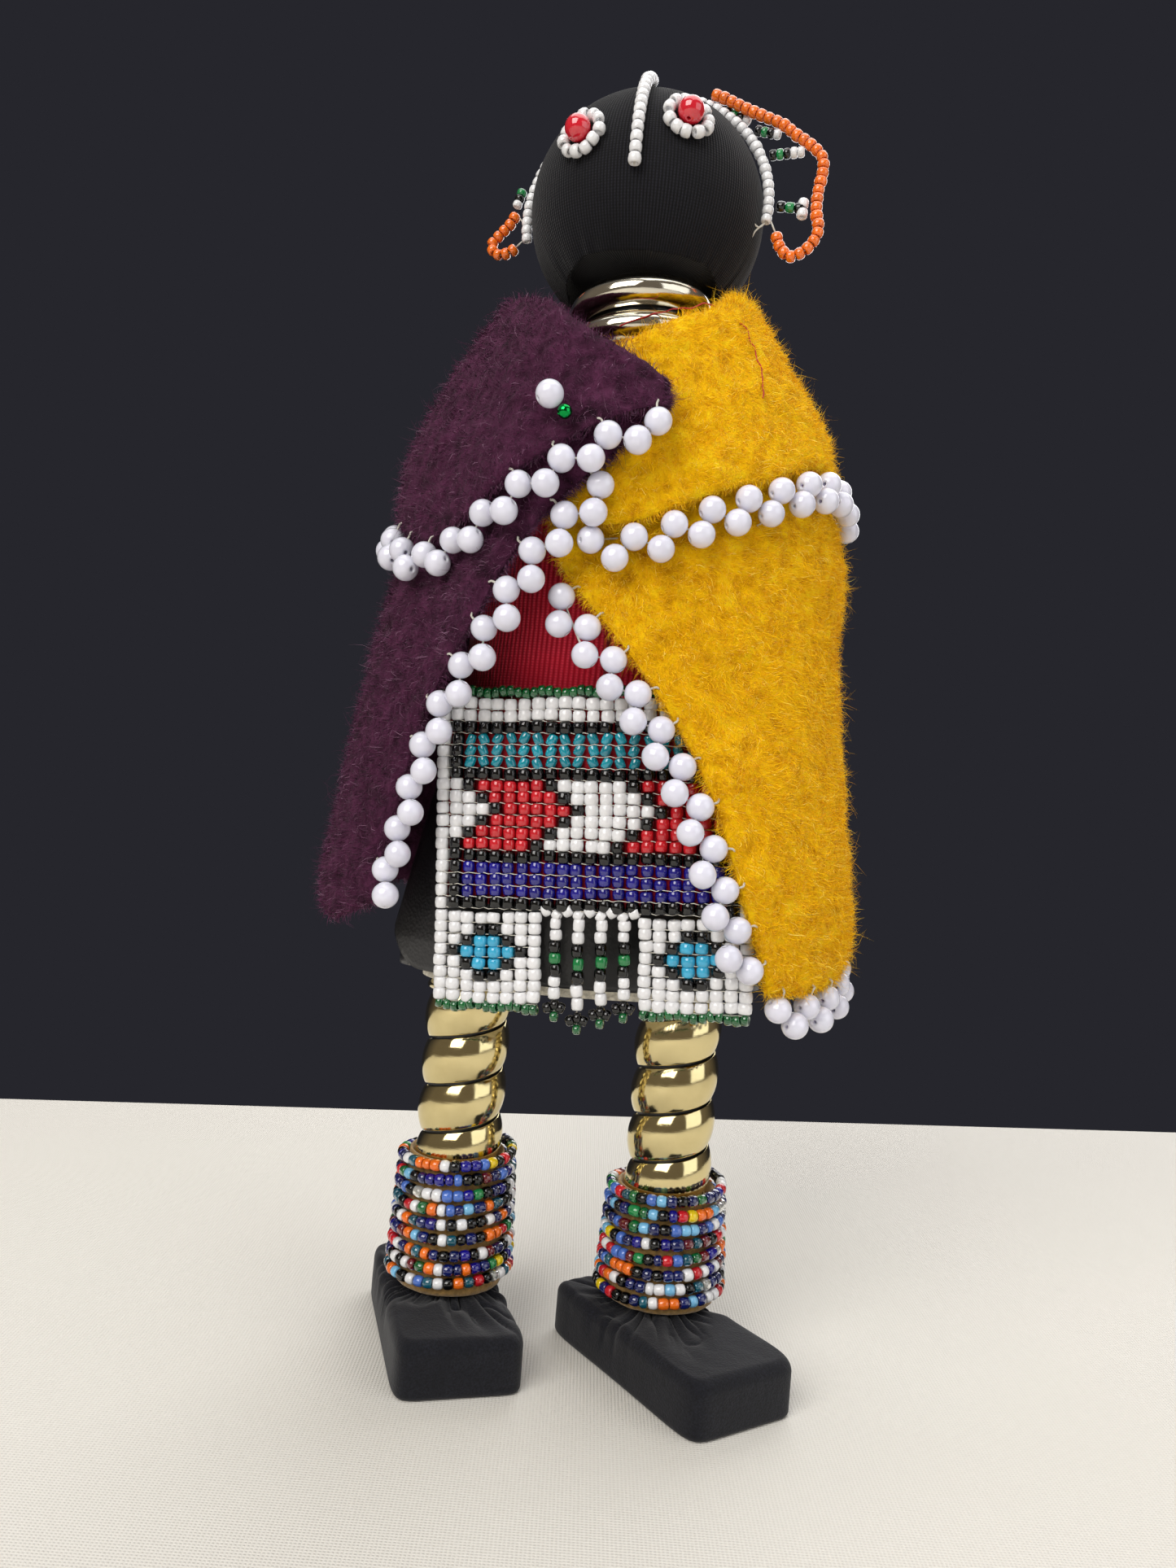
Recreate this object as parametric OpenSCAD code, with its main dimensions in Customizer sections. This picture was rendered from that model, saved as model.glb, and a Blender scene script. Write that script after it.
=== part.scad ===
// Beaded cloth doll in a two-coloured blanket, standing on two feet.
// Z is up and the doll faces -Y. Its left and right are the viewer's.

/* [Head] */
// Radius of the stuffed head
head_r = 27.6; // [27:0.1:27.6]
// Height of the centre of the head above the ground
head_z = 266.6; // [266.6:0.1:268]
// Turn of the face towards the left shoulder
face_turn = 8; // [0:1:15]
// Half of the angle between the two eyes
eye_spread = 25; // [23:1:28]

/* [Beads] */
// Radius of the round trimming beads
pearl_r = 2.85; // [2.7:0.05:2.85]
// Half of the outer diameter of a seed bead
seed_r = 1.4; // [1.2:0.05:1.45]
// Distance from the middle of one trimming bead to the middle of the next
pearl_step = 5.95; // [5.9:0.05:6.2]

/* [Neck] */
// Outer radius of the neck coil
neck_coil_r = 16.2; // [15.6:0.1:16.2]
// Distance from one turn of the neck coil to the next
neck_pitch = 8; // [7.6:0.1:8.4]

/* [Legs] */
// Distance of the left leg from the middle plane
left_leg_x = -27.5; // [-28:0.1:-27]
// Distance of the right leg from the middle plane
right_leg_x = 22.5; // [22:0.1:23]
// Radius of the leg rods
leg_r = 8.2; // [7.8:0.1:8.2]
// Outer radius of the leg coils
leg_coil_r = 10.2; // [10:0.05:10.2]
// Distance from one turn of a leg coil to the next
leg_pitch = 11; // [10.8:0.1:11.5]

/* [Feet] */
// Length of a foot
foot_l = 57; // [55:0.5:58]
// Width of a foot
foot_w = 28.5; // [26:0.5:29]
// Height of a foot
foot_h = 13; // [12:0.5:13]
// Turn of the toes of the left foot
left_toe_turn = 15.5; // [10:0.5:20]
// Turn of the toes of the right foot
right_toe_turn = 33; // [28:0.5:36]

/* [Blanket] */
// Thickness of the fleece
fleece_t = 2.8; // [2:0.1:2.8]
// Distance between the middles of two layers of fleece
layer = 3.6; // [3.6:0.1:3.8]

/* [Apron] */
// Width of the beaded panel
apron_w = 69.4; // [68:0.2:70]
// Height of the beaded panel above its flaps
panel_h = 48.2; // [47:0.2:48.4]
// Length of a flap below its hinge line
flap_h = 20.1; // [19:0.1:20.4]
// Width of a flap
flap_w = 24.2; // [23:0.2:24.4]
// Height of the top edge of the panel at its middle
apron_top = 153; // [152:0.5:154]

/* [Hidden] */
$fn = 48;

// The frame's origin lies under the middle of the whole object's box
box_middle = [-1.3, -4.9, 0];

// ---------- Points and skins ----------

function flat_list(rows) = [for (row = rows) for (p = row) p];
function unit(v) = v / norm(v);
function smooth(t) = let (c = min(max(t, 0), 1)) c * c * (3 - 2 * c);
function mix(a, b, t) = a + (b - a) * t;

// Closed solid between two grids of points, which have rows and columns alike
module skin(over, under) {
    rows = len(over);
    cols = len(over[0]);
    count = rows * cols;
    function at(side, r, c) = side * count + r * cols + c;
    top = [for (r = [0:rows - 2]) for (c = [0:cols - 2]) for (t = [0, 1])
        t == 0 ? [at(0, r, c), at(0, r + 1, c), at(0, r + 1, c + 1)]
               : [at(0, r, c), at(0, r + 1, c + 1), at(0, r, c + 1)]];
    bottom = [for (r = [0:rows - 2]) for (c = [0:cols - 2]) for (t = [0, 1])
        t == 0 ? [at(1, r, c), at(1, r + 1, c + 1), at(1, r + 1, c)]
               : [at(1, r, c), at(1, r, c + 1), at(1, r + 1, c + 1)]];
    sides = [for (r = [0:rows - 2]) for (e = [0, 1]) for (t = [0, 1])
        let (c = e == 0 ? 0 : cols - 1,
             a = at(0, r, c), b = at(0, r + 1, c), d = at(1, r, c), f = at(1, r + 1, c),
             tri = t == 0 ? [a, d, f] : [a, f, b])
        e == 0 ? tri : [tri[2], tri[1], tri[0]]];
    ends = [for (c = [0:cols - 2]) for (e = [0, 1]) for (t = [0, 1])
        let (r = e == 0 ? 0 : rows - 1,
             a = at(0, r, c), b = at(0, r, c + 1), d = at(1, r, c), f = at(1, r, c + 1),
             tri = t == 0 ? [a, b, f] : [a, f, d])
        e == 0 ? tri : [tri[2], tri[1], tri[0]]];
    polyhedron(concat(flat_list(over), flat_list(under)), concat(top, bottom, sides, ends));
}

// Closed solid through rings of points, each with the same number of points
module loft(rings) {
    n = len(rings[0]);
    last = len(rings) - 1;
    walls = [for (r = [0:last - 1]) for (i = [0:n - 1]) for (t = [0, 1])
        let (j = (i + 1) % n, a = r * n + i, b = r * n + j, c = a + n, d = b + n)
        t == 0 ? [a, c, d] : [a, d, b]];
    first_cap = [for (i = [0:n - 1]) i];
    last_cap = [for (i = [n - 1:-1:0]) last * n + i];
    polyhedron(flat_list(rings), concat(walls, [first_cap, last_cap]));
}

// Closed tube wall between outer and inner rings of points
module sleeve(over, under) {
    n = len(over[0]);
    rows = len(over);
    function at(side, r, i) = side * rows * n + r * n + i % n;
    function quad(a, b, c, d) = [[a, b, c], [a, c, d]];
    faces = [for (i = [0:n - 1]) each concat(
        [for (r = [0:rows - 2])
            each concat(quad(at(0, r, i), at(0, r + 1, i), at(0, r + 1, i + 1), at(0, r, i + 1)),
                quad(at(1, r, i), at(1, r, i + 1), at(1, r + 1, i + 1), at(1, r + 1, i)))],
        quad(at(0, 0, i), at(0, 0, i + 1), at(1, 0, i + 1), at(1, 0, i)),
        quad(at(0, rows - 1, i), at(1, rows - 1, i), at(1, rows - 1, i + 1), at(0, rows - 1, i + 1)))];
    polyhedron(concat(flat_list(over), flat_list(under)), faces);
}

// Level ring of an ellipse with its own front and back depth
function oval(middle_x, z, side, front, back, n) = [for (i = [0:n - 1])
    let (a = 360 * i / n)
    [middle_x + side * sin(a), cos(a) > 0 ? -front * cos(a) : -back * cos(a), z]];

// Round tube along a path that lies in the plane square to across
module plane_tube(path, across, r, sides) {
    last = len(path) - 1;
    loft([for (i = [0:last])
        let (t = unit(path[min(i + 1, last)] - path[max(i - 1, 0)]), side = cross(across, t))
        [for (k = [0:sides - 1]) path[i] + r * (cos(360 * k / sides) * side
            - sin(360 * k / sides) * across)]]);
}

// Point on a smooth curve through hand-set points, with t from 0 to the last index
function curve_point(pts, t) =
    let (last = len(pts) - 1, i = min(floor(t), last - 1), u = t - i,
         a = pts[max(i - 1, 0)], b = pts[i], c = pts[i + 1], d = pts[min(i + 2, last)])
    0.5 * (2 * b + (c - a) * u + (2 * a - 5 * b + 4 * c - d) * u * u
        + (3 * b - 3 * c + d - a) * u * u * u);
function curve(pts, steps) = [for (i = [0:steps * (len(pts) - 1)]) curve_point(pts, i / steps)];

// ---------- Feet and legs ----------

left_foot = [-27.9, -3.6, 0];
right_foot = [24.4, -10.8, 0];
foot_corner = 4.6;
foot_wall = 1.6;
// Room over the block for the gathers in the cloth
foot_slack = 1.6;

// Outline of a foot from above, with rounded corners
function foot_outline(l, w, r) = [for (q = [0:3]) for (s = [0:6])
    let (a = 90 * q + 15 * s, sx = (q == 0 || q == 3) ? 1 : -1, sy = q < 2 ? 1 : -1)
    [sx * (w / 2 - r) + r * cos(a), sy * (l / 2 - r) + r * sin(a)]];

module place_foot(spot, turn) translate(spot) rotate([0, 0, turn]) children();

// Cloth over a foot, with eased upper edges and the block's room inside
module foot_cloth() {
    difference() {
        union() {
            linear_extrude(foot_h - 2) polygon(foot_outline(foot_l, foot_w, foot_corner));
            translate([0, 0, foot_h - 2.5])
                linear_extrude(1.7) polygon(foot_outline(foot_l - 1.4, foot_w - 1.4, foot_corner));
            translate([0, 0, foot_h - 1.2])
                linear_extrude(1.2) polygon(foot_outline(foot_l - 3.4, foot_w - 3.4, foot_corner));
        }
        translate([0, 0, foot_wall]) foot_core();
    }
}
module foot_core() linear_extrude(foot_h - 2 * foot_wall - foot_slack)
    polygon(foot_outline(foot_l - 2 * foot_wall - 2, foot_w - 2 * foot_wall - 2, foot_corner - 1.6));

module left_foot_block() color("burlywood")
    place_foot(left_foot, left_toe_turn) translate([0, 0, foot_wall]) foot_core();
module right_foot_block() color("burlywood")
    place_foot(right_foot, right_toe_turn) translate([0, 0, foot_wall]) foot_core();
module left_foot_cover() color([0.1, 0.1, 0.11])
    place_foot(left_foot, left_toe_turn) foot_cloth();
module right_foot_cover() color([0.1, 0.1, 0.11])
    place_foot(right_foot, right_toe_turn) foot_cloth();

leg_top = 100;
module leg_rod(x) translate([x, 0, foot_h]) cylinder(h = leg_top - foot_h, r = leg_r);
module left_leg_rod() color([0.08, 0.08, 0.08]) leg_rod(left_leg_x);
module right_leg_rod() color([0.08, 0.08, 0.08]) leg_rod(right_leg_x);

// Domed strip wound into a helix round the Z axis
module coil(r_in, r_out, strip, pitch, low, high) {
    per_turn = 28;
    turns = (high - low - strip) / pitch;
    n = ceil(turns * per_turn);
    rim = 0.3;
    section = concat([[r_in, -strip / 2], [r_in, strip / 2]],
        [for (a = [80:-32:-80]) [r_in + rim + (r_out - r_in - rim) * pow(cos(a), 0.6),
            strip / 2 * sin(a) / sin(80)]]);
    loft([for (i = [0:n])
        let (a = 360 * turns * i / n, z = low + strip / 2 + pitch * turns * i / n)
        [for (p = section) [p[0] * cos(a), p[0] * sin(a), z + p[1]]]]);
}

leg_strip = 10.3;
coil_top = 83.5;
module leg_coil(low) coil(leg_r + 0.5, leg_coil_r, leg_strip, leg_pitch, low, coil_top);
module left_leg_coil() color([0.86, 0.8, 0.6]) translate([left_leg_x, 0, 0]) leg_coil(33);
module right_leg_coil() color([0.86, 0.8, 0.6]) translate([right_leg_x, 0, 0]) leg_coil(28);

// Felt cone round an ankle, wound with rows of seed beads
left_wrap = [13.4, 43.5, 12.6, 11.3];
right_wrap = [13.4, 39, 13.1, 11.5];
wrap_bore = leg_coil_r + 0.45;
row_step = 3.7;
function wrap_r(w, z) = mix(w[2], w[3], (z - w[0]) / (w[1] - w[0]));
module ankle_wrap(w) difference() {
    translate([0, 0, w[0]]) cylinder(h = w[1] - w[0], r1 = w[2], r2 = w[3]);
    translate([0, 0, w[0] - 1]) cylinder(h = w[1] - w[0] + 2, r = wrap_bore);
}
module ankle_rows(w, rows) for (i = [0:rows - 1])
    let (z = w[0] + seed_r + row_step * i)
    translate([0, 0, z]) rotate_extrude()
        translate([wrap_r(w, min(z - seed_r, w[1])) + seed_r + 0.12, 0]) circle(seed_r, $fn = 24);
module left_ankle_wrap() color("tan") translate([left_leg_x, 0, 0]) ankle_wrap(left_wrap);
module right_ankle_wrap() color("tan") translate([right_leg_x, 0, 0]) ankle_wrap(right_wrap);
module left_ankle_beads() color([0.1, 0.35, 0.6])
    translate([left_leg_x, 0, 0]) ankle_rows(left_wrap, 9);
module right_ankle_beads() color([0.8, 0.35, 0.2])
    translate([right_leg_x, 0, 0]) ankle_rows(right_wrap, 8);

// ---------- Torso ----------

// Height, middle, half-width, front depth and back depth of the stuffed body
body_form = [
    [84, -2.5, 37, 19, 20], [94, -2.5, 38, 20.5, 21.5], [130, -2, 33, 20, 20],
    [165, -1, 32, 20, 19], [195, 0, 33, 19, 18], [208, 0, 29, 17, 16], [215, 0, 20, 14.5, 14]
];
body_sides = 32;
top_low = 149;
top_t = 1;
function body_at(z) = [for (k = [0:4]) lookup(z, [for (f = body_form) [f[0], f[k]]])];
// Ring round the body as it is at one height, drawn at another
function oval_at(shape_z, z, out) = let (b = body_at(shape_z))
    oval(b[1], z, b[2] + out, b[3] + out, b[4] + out, body_sides);
function body_ring(z, out) = oval_at(z, z, out);

module torso_stuffing() color("ivory") difference() {
    loft([for (f = body_form) body_ring(f[0], 0)]);
    for (x = [left_leg_x, right_leg_x])
        translate([x, 0, 80]) cylinder(h = leg_top - 80, r = leg_r);
    translate([0, neck_y, dowel_low]) cylinder(h = 60, r = dowel_r);
}

red_top_heights = [top_low, 165, 195, 208, 214.8];
module red_top() color("crimson") sleeve([for (z = red_top_heights) body_ring(z, top_t + 0.1)],
    [for (z = red_top_heights) body_ring(z, 0.1)]);

skirt_top = 148.5;
skirt_low = 87;
skirt_t = 0.9;
skirt_start = -78;
skirt_end = 292;
skirt_gap = 1.3;
function skirt_point(a, v, out) =
    let (wrap = 1.6 * (skirt_end - a) / (skirt_end - skirt_start),
         corner = 9 * pow(1 - min((a - skirt_start) / 22, 1), 2),
         z = mix(skirt_low + corner, skirt_top, v), b = body_at(z), o = skirt_gap + wrap + out,
         flare = 3 * (1 - v))
    [b[1] + (b[2] + o + flare) * sin(a),
     -(cos(a) > 0 ? b[3] + o : b[4] + o) * cos(a), z];
function skirt_grid(out) = [for (v = [0:8]) [for (i = [0:40])
    skirt_point(mix(skirt_start, skirt_end, i / 40), v / 8, out)]];
module vinyl_skirt() color([0.06, 0.06, 0.07]) skin(skirt_grid(skirt_t / 2), skirt_grid(-skirt_t / 2));

cord_z = 149.6;
module waist_cord() color([0.05, 0.05, 0.05]) sleeve(
    [for (z = [cord_z, cord_z + 2]) oval_at(cord_z, z, 3)],
    [for (z = [cord_z, cord_z + 2]) oval_at(cord_z, z, 1.4)]);

// ---------- Apron ----------

apron_turn = -12;
apron_lean = -3.6;
bead_t = 2.8;
hinge_r = 1.45;
hinge_gap = 0.45;
hinge_z = -panel_h - hinge_gap - hinge_r;
fringe_x = [-7.5, -2.5, 2.5, 7.5];
fringe_l = [20, 22.5, 21, 19.5];
fringe_tip_r = 1.9;

module on_apron() translate([-3.9, -28.5, apron_top]) rotate([0, 0, apron_turn])
    rotate([0, apron_lean, 0]) children();

// The panel follows the waist at its top right and is flat along its hinge line
function panel_bend(x, z) = 0.012 * pow(max(x, 0), 2) * (1 - smooth(-z / panel_h));
function panel_grid(y) = [for (r = [0:6]) [for (i = [0:10])
    let (x = apron_w * (i / 10 - 0.5), z = -panel_h * (1 - r / 6)) [x, y + panel_bend(x, z), z]]];
module apron_panel() color("white") on_apron()
    skin(panel_grid(-bead_t / 2), panel_grid(bead_t / 2));

module flap(x) color("white") on_apron() translate([x, 0, hinge_z]) {
    rotate([0, 90, 0]) cylinder(h = flap_w, r = hinge_r);
    translate([0, -bead_t / 2, -flap_h]) cube([flap_w, bead_t, flap_h]);
}
module left_flap() flap(-apron_w / 2);
module right_flap() flap(apron_w / 2 - flap_w);

module fringe(i) color([0.1, 0.15, 0.1]) on_apron() translate([fringe_x[i], 0, hinge_z]) {
    rotate([0, 90, 0]) translate([0, 0, -seed_r]) cylinder(h = 2 * seed_r, r = seed_r);
    translate([0, 0, -fringe_l[i]]) cylinder(h = fringe_l[i], r = seed_r - 0.1);
    translate([0, 0, -fringe_l[i]]) sphere(fringe_tip_r);
}
module fringe_1() fringe(0);
module fringe_2() fringe(1);
module fringe_3() fringe(2);
module fringe_4() fringe(3);

// ---------- Neck ----------

dowel_r = 4;
dowel_low = 180;
dowel_top = 285;
post_r = 12.6;
neck_strip = 7.3;
neck_coil_low = 224.5;
neck_coil_top = 248.8;
// The neck stands in front of the middle of the head
neck_y = -6;
module neck_dowel() color("burlywood") translate([0, neck_y, dowel_low])
    cylinder(h = dowel_top - dowel_low, r = dowel_r);
module neck_post() color([0.1, 0.1, 0.1]) difference() {
    translate([0, neck_y, 215.2]) cylinder(h = 29.8, r = post_r);
    translate([0, neck_y, 210]) cylinder(h = 40, r = dowel_r);
}
module neck_coil() color([0.82, 0.8, 0.72])
    translate([0, neck_y, 0])
        coil(post_r + 0.5, neck_coil_r, neck_strip, neck_pitch, neck_coil_low, neck_coil_top);

// ---------- Blanket ----------

// Height against the drape's left and right half-widths, left and right front depths and back depth
drape = [
    [88, 65, 59, 32, 49, 35], [108, 62.8, 57.8, 33, 48, 35], [125, 60.3, 55.6, 34, 45, 33],
    [150, 56.3, 52.5, 35, 38, 32], [168, 52.8, 50.4, 35, 35, 31], [186, 48.6, 50.6, 34, 34, 30],
    [196, 47.5, 48.3, 33.5, 33.5, 29.5], [204, 46.3, 44.6, 32.5, 32.5, 29], [216, 41.2, 40.7, 30, 30, 27],
    [228, 35, 33, 27, 27, 25], [240, 27.8, 25, 24, 24, 23], [250, 21, 19, 21.5, 21.5, 21]
];
LEFT = 3;
RIGHT = 4;
function drape_size(z, k) = lookup(z, [for (d = drape) [d[0], d[k]]]);
// Point on the drape at an angle from the front, pushed out from its middle surface
function drape_point(a, z, out, front) =
    let (w = drape_size(z, a > 0 || a < -180 ? 2 : 1) + out, d = drape_size(z, cos(a) > 0 ? front : 5) + out)
    [w * sin(a), -d * cos(a), z];
// Value from a table with its corners rounded off
function eased(x, table, step) = let (near = [for (k = [-2:2]) lookup(x + k * step, table)])
    near * [1, 1, 1, 1, 1] / 5;
ANGLE_EASE = 4;
SHARE_EASE = 0.025;

seam_angle = 110;
seam_gap = 0.3;
// Height of each side's fold at the neck against the angle
purple_fold = [[-250, 242], [-90, 242], [-60, 239], [-32, 233.4], [-19, 228], [-13, 224.5], [-6, 221],
    [2, 217.4], [8, 213.8]];
yellow_fold = [[-18, 219], [-5, 223], [1, 227], [12, 231.6], [24, 234.4], [34, 236.8], [61, 244.6],
    [84, 245], [110, 242.5]];
// How far the purple side is pushed out where it lies over the yellow side
function lift(a) = 2 * layer * smooth((a + 52) / 34);

purple_seam = seam_angle - 360 + seam_gap;
yellow_seam = seam_angle - seam_gap;
// Angle of each side's front edge against the share of the way up to the fold
purple_edge = [[0, -50], [0.054, -49.2], [0.142, -47], [0.252, -45], [0.332, -41.5], [0.41, -35.5],
    [0.473, -30], [0.545, -26.5], [0.625, -21.5], [0.703, -16], [0.753, -10.6], [0.82, -5], [0.935, 3], [1, 7]];
yellow_edge = [[0, 39], [0.08, 34], [0.145, 30], [0.215, 27.2], [0.283, 23.7], [0.349, 18.6],
    [0.408, 12.9], [0.468, 7], [0.556, -2], [0.639, -11], [0.7, -18], [1, -18]];
function purple_hem(a) = 104 - 6 * smooth(1 - abs(a + 66) / 24);
function yellow_hem(a) = 92 + 7 * smooth((a - 50) / 50);
// Height of each flap's lower edge against the angle
purple_flap_low = [[-250, 192], [-100, 192], [-75, 188], [-58, 182.5], [-48, 181], [-40, 184],
    [-31, 190], [-22, 195], [-12, 201.5], [-4, 207.3], [8, 210]];
yellow_flap_low = [[-18, 187], [-8, 184.5], [-3, 184.5], [4, 187], [12, 190.8], [21, 195.2],
    [32, 198.2], [44, 202.4], [63, 206.5], [85, 206.5], [110, 200]];

body_rows = 11;
fold_rows = 4;
flap_rows = 5;
// Place on the cloth's way up the body, over the fold and down the flap: [height, push]
function cloth_way(row, low, fold, flap_low, face) =
    let (fold_r = layer / 2, t = fleece_t / 2 * face)
    row <= body_rows
        ? [mix(low, fold - fold_r, row / body_rows), -t]
        : row <= body_rows + fold_rows
            ? let (a = 180 * (row - body_rows) / fold_rows)
              [fold - fold_r + (fold_r + t) * sin(a), fold_r - (fold_r + t) * cos(a)]
            : [mix(fold - fold_r, flap_low, (row - body_rows - fold_rows) / flap_rows),
               layer + t];

// Angle of a column of the cloth; the flap starts where the body ends
function column_angle(row, u, edge, seam) = mix(eased(min(row / body_rows, 1), edge, SHARE_EASE), seam, u);

all_rows = body_rows + fold_rows + flap_rows;
function purple_point(row, u, face) =
    let (a = column_angle(row, u, purple_edge, purple_seam),
         w = cloth_way(row, purple_hem(a), eased(a, purple_fold, ANGLE_EASE),
                       eased(a, purple_flap_low, ANGLE_EASE), face))
    drape_point(a, w[0], w[1] + lift(a), LEFT);
function yellow_point(row, u, face) =
    let (a = column_angle(row, u, yellow_edge, yellow_seam),
         w = cloth_way(row, yellow_hem(a), eased(a, yellow_fold, ANGLE_EASE),
                       eased(a, yellow_flap_low, ANGLE_EASE), face))
    drape_point(a, w[0], w[1], RIGHT);

// Columns stand closer together over the front, where the fleece bends most
function spread(i, n) = pow(i / n, 1.15);
purple_cols = 34;
yellow_cols = 18;
function purple_grid(face) = [for (r = [0:all_rows]) [for (i = [0:purple_cols])
    purple_point(r, spread(i, purple_cols), face)]];
function yellow_grid(face) = [for (r = [0:all_rows]) [for (i = [0:yellow_cols])
    yellow_point(r, spread(i, yellow_cols), face)]];

module pin_hole() pin_place() translate([0, 0, -pin_l - 4]) cylinder(h = pin_l + 6, r = pin_r + 0.08, $fn = 24);
module purple_blanket() color([0.24, 0.13, 0.21]) difference() {
    skin(purple_grid(-1), purple_grid(1));
    pin_hole();
}
module yellow_blanket() color([0.87, 0.65, 0.03]) difference() {
    skin(yellow_grid(1), yellow_grid(-1));
    pin_hole();
}

// ---------- Trimming beads along the blanket's edges ----------

// Places at equal steps along a line of points: [point, direction] of each
function steps_along(line, step, skip) =
    let (run = [for (i = 0, s = 0; i < len(line);
                     i = i + 1, s = s + (i < len(line) ? norm(line[i] - line[i - 1]) : 0)) s],
         table = [for (i = [0:len(line) - 1]) [run[i], i]],
         total = run[len(run) - 1])
    [for (s = [skip:step:total])
        let (t = min(lookup(s, table), len(line) - 1.001), i = floor(t))
        [mix(line[i], line[i + 1], t - i),
         unit(line[min(i + 3, len(line) - 1)] - line[max(i - 2, 0)])]];

// Bead just outside an edge: an outer one stands wide further out. Where the drape widens below the yellow flap,
// a hugging one stays as far out from the drape as the flap does. side is 1 or -1
inner_out = 3.5;
outer_raise = 0.7;
function pearl_place(spot, side, raise, wide, far, hugs) =
    let (away = unit([spot[0][0] / 1.9, spot[0][1], 0]), out = side * unit(cross(spot[1], away)),
         p = spot[0] + out * (inner_out + wide * far) + away * (raise + outer_raise * far),
         a = atan2(p[0] / drape_size(p[2], 2), -p[1] / drape_size(p[2], RIGHT)),
         q = drape_point(a, p[2], layer + raise, RIGHT))
    hugs && norm([q[0], q[1]]) > norm([p[0], p[1]]) ? q : p;
// Zigzag along a line: each bead is the first that stands a whole step from the one before
search_step = 0.15;
function pearl_chain(line, side, raise, wide, hugs) = let (spots = steps_along(line, search_step, 1))
    [for (i = 0, k = 0, next = [0, 0, 0], placed = true,
              here = pearl_place(spots[0], side, raise, wide, 0, hugs);
          i < len(spots);
          i = i + 1,
          next = i < len(spots) ? pearl_place(spots[i], side, raise, wide, (k + 1) % 2, hugs) : here,
          placed = norm(next - here) >= pearl_step,
          k = placed ? k + 1 : k,
          here = placed ? next : here)
        if (placed) here];
module pearl_row(line, side, raise, wide, hugs = false)
    for (p = pearl_chain(line, side, raise, wide, hugs)) translate(p) sphere(pearl_r, $fn = 32);

edge_points = 60;
// Each line runs along the middle of the cloth's own edge
function purple_front_line() = [for (i = [0:edge_points])
    purple_point(mix(0.79, 0.02, i / edge_points) * body_rows, 0, 0)];
function yellow_front_line() = [for (i = [0:edge_points])
    yellow_point(mix(0.64, 0.03, i / edge_points) * body_rows, 0, 0)];
function purple_flap_line() = [for (i = [0:2 * edge_points])
    let (a = mix(5, purple_seam + 3, i / edge_points / 2), z = eased(a, purple_flap_low, ANGLE_EASE))
    drape_point(a, z, layer + lift(a), LEFT)];
function yellow_flap_line() = [for (i = [0:edge_points])
    let (a = mix(-9, yellow_seam - 4, i / edge_points), z = eased(a, yellow_flap_low, ANGLE_EASE))
    drape_point(a, z, layer, RIGHT)];
function yellow_hem_line() = [for (i = [0:edge_points])
    let (a = mix(41, yellow_seam - 2, i / edge_points)) drape_point(a, yellow_hem(a), 0, RIGHT)];

module purple_front_pearls() color("ghostwhite") pearl_row(purple_front_line(), -1, 1.2, 3.7);
module yellow_front_pearls() color("ghostwhite") pearl_row(yellow_front_line(), 1, 1.2, 4.1);
module purple_collar_pearls() color("ghostwhite") pearl_row(purple_flap_line(), -1, 2.1, 3.1);
module yellow_collar_pearls() color("ghostwhite") pearl_row(yellow_flap_line(), 1, 1.8, 3.8, true);
module yellow_hem_pearls() color("ghostwhite") pearl_row(yellow_hem_line(), 1, 0, 3.5);

// ---------- Pin through the purple flap ----------

pin_angle = -16.5;
pin_z = 208;
pin_l = 18;
pin_r = 0.45;
module pin_place() translate(drape_point(pin_angle, pin_z, layer + lift(pin_angle) + 3, LEFT))
    rotate([0, 0, pin_angle * 0.7]) rotate([78, 0, 0]) children();
module pin_shaft() color("silver") pin_place() translate([0, 0, -pin_l]) cylinder(h = pin_l, r = pin_r);
module pin_pearl() color("ghostwhite") pin_place() translate([0, 0, pearl_r]) sphere(pearl_r);
module pin_stop_bead() color("green") pin_place() translate([3.1, -2.9, 1.3]) sphere(1.5);

// ---------- Head ----------

cover_t = 0.8;
eye_r = 2.9;
eye_ring_r = 4.6;
left_eye_tilt = 14;
right_eye_tilt = 22;

// Turns +Z of what follows to an angle from the face's middle and a height angle
module on_head(side, up, dist) translate([0, 0, head_z]) rotate([0, 0, -face_turn - 2 + side])
    rotate([90 - up, 0, 0]) translate([0, 0, dist]) children();
// Room for the neck coil in the underside of the head
module neck_pocket() translate([0, neck_y, head_z - head_r - 5])
    cylinder(h = neck_coil_top + 0.5 - head_z + head_r + 5, r = neck_coil_r + 0.5);

module head_stuffing() color("ivory") difference() {
    translate([0, 0, head_z]) sphere(head_r - cover_t - 0.05, $fn = 96);
    translate([0, neck_y, dowel_low]) cylinder(h = dowel_top + 1 - dowel_low, r = dowel_r + 0.05);
    neck_pocket();
}
module head_cover() color([0.08, 0.08, 0.09]) difference() {
    translate([0, 0, head_z]) sphere(head_r, $fn = 96);
    translate([0, 0, head_z]) sphere(head_r - cover_t, $fn = 96);
    neck_pocket();
}

module eye_bead(side, up) on_head(side, up, head_r + eye_r) sphere(eye_r);
module eye_ring(side, up) on_head(side, up, head_r + seed_r - 0.3)
    rotate_extrude() translate([eye_ring_r, 0]) circle(seed_r, $fn = 24);
module left_eye_bead() color("crimson") eye_bead(-eye_spread, left_eye_tilt);
module right_eye_bead() color("crimson") eye_bead(eye_spread, right_eye_tilt);
module left_eye_ring() color("white") eye_ring(-eye_spread, left_eye_tilt);
module right_eye_ring() color("white") eye_ring(eye_spread, right_eye_tilt);

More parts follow.
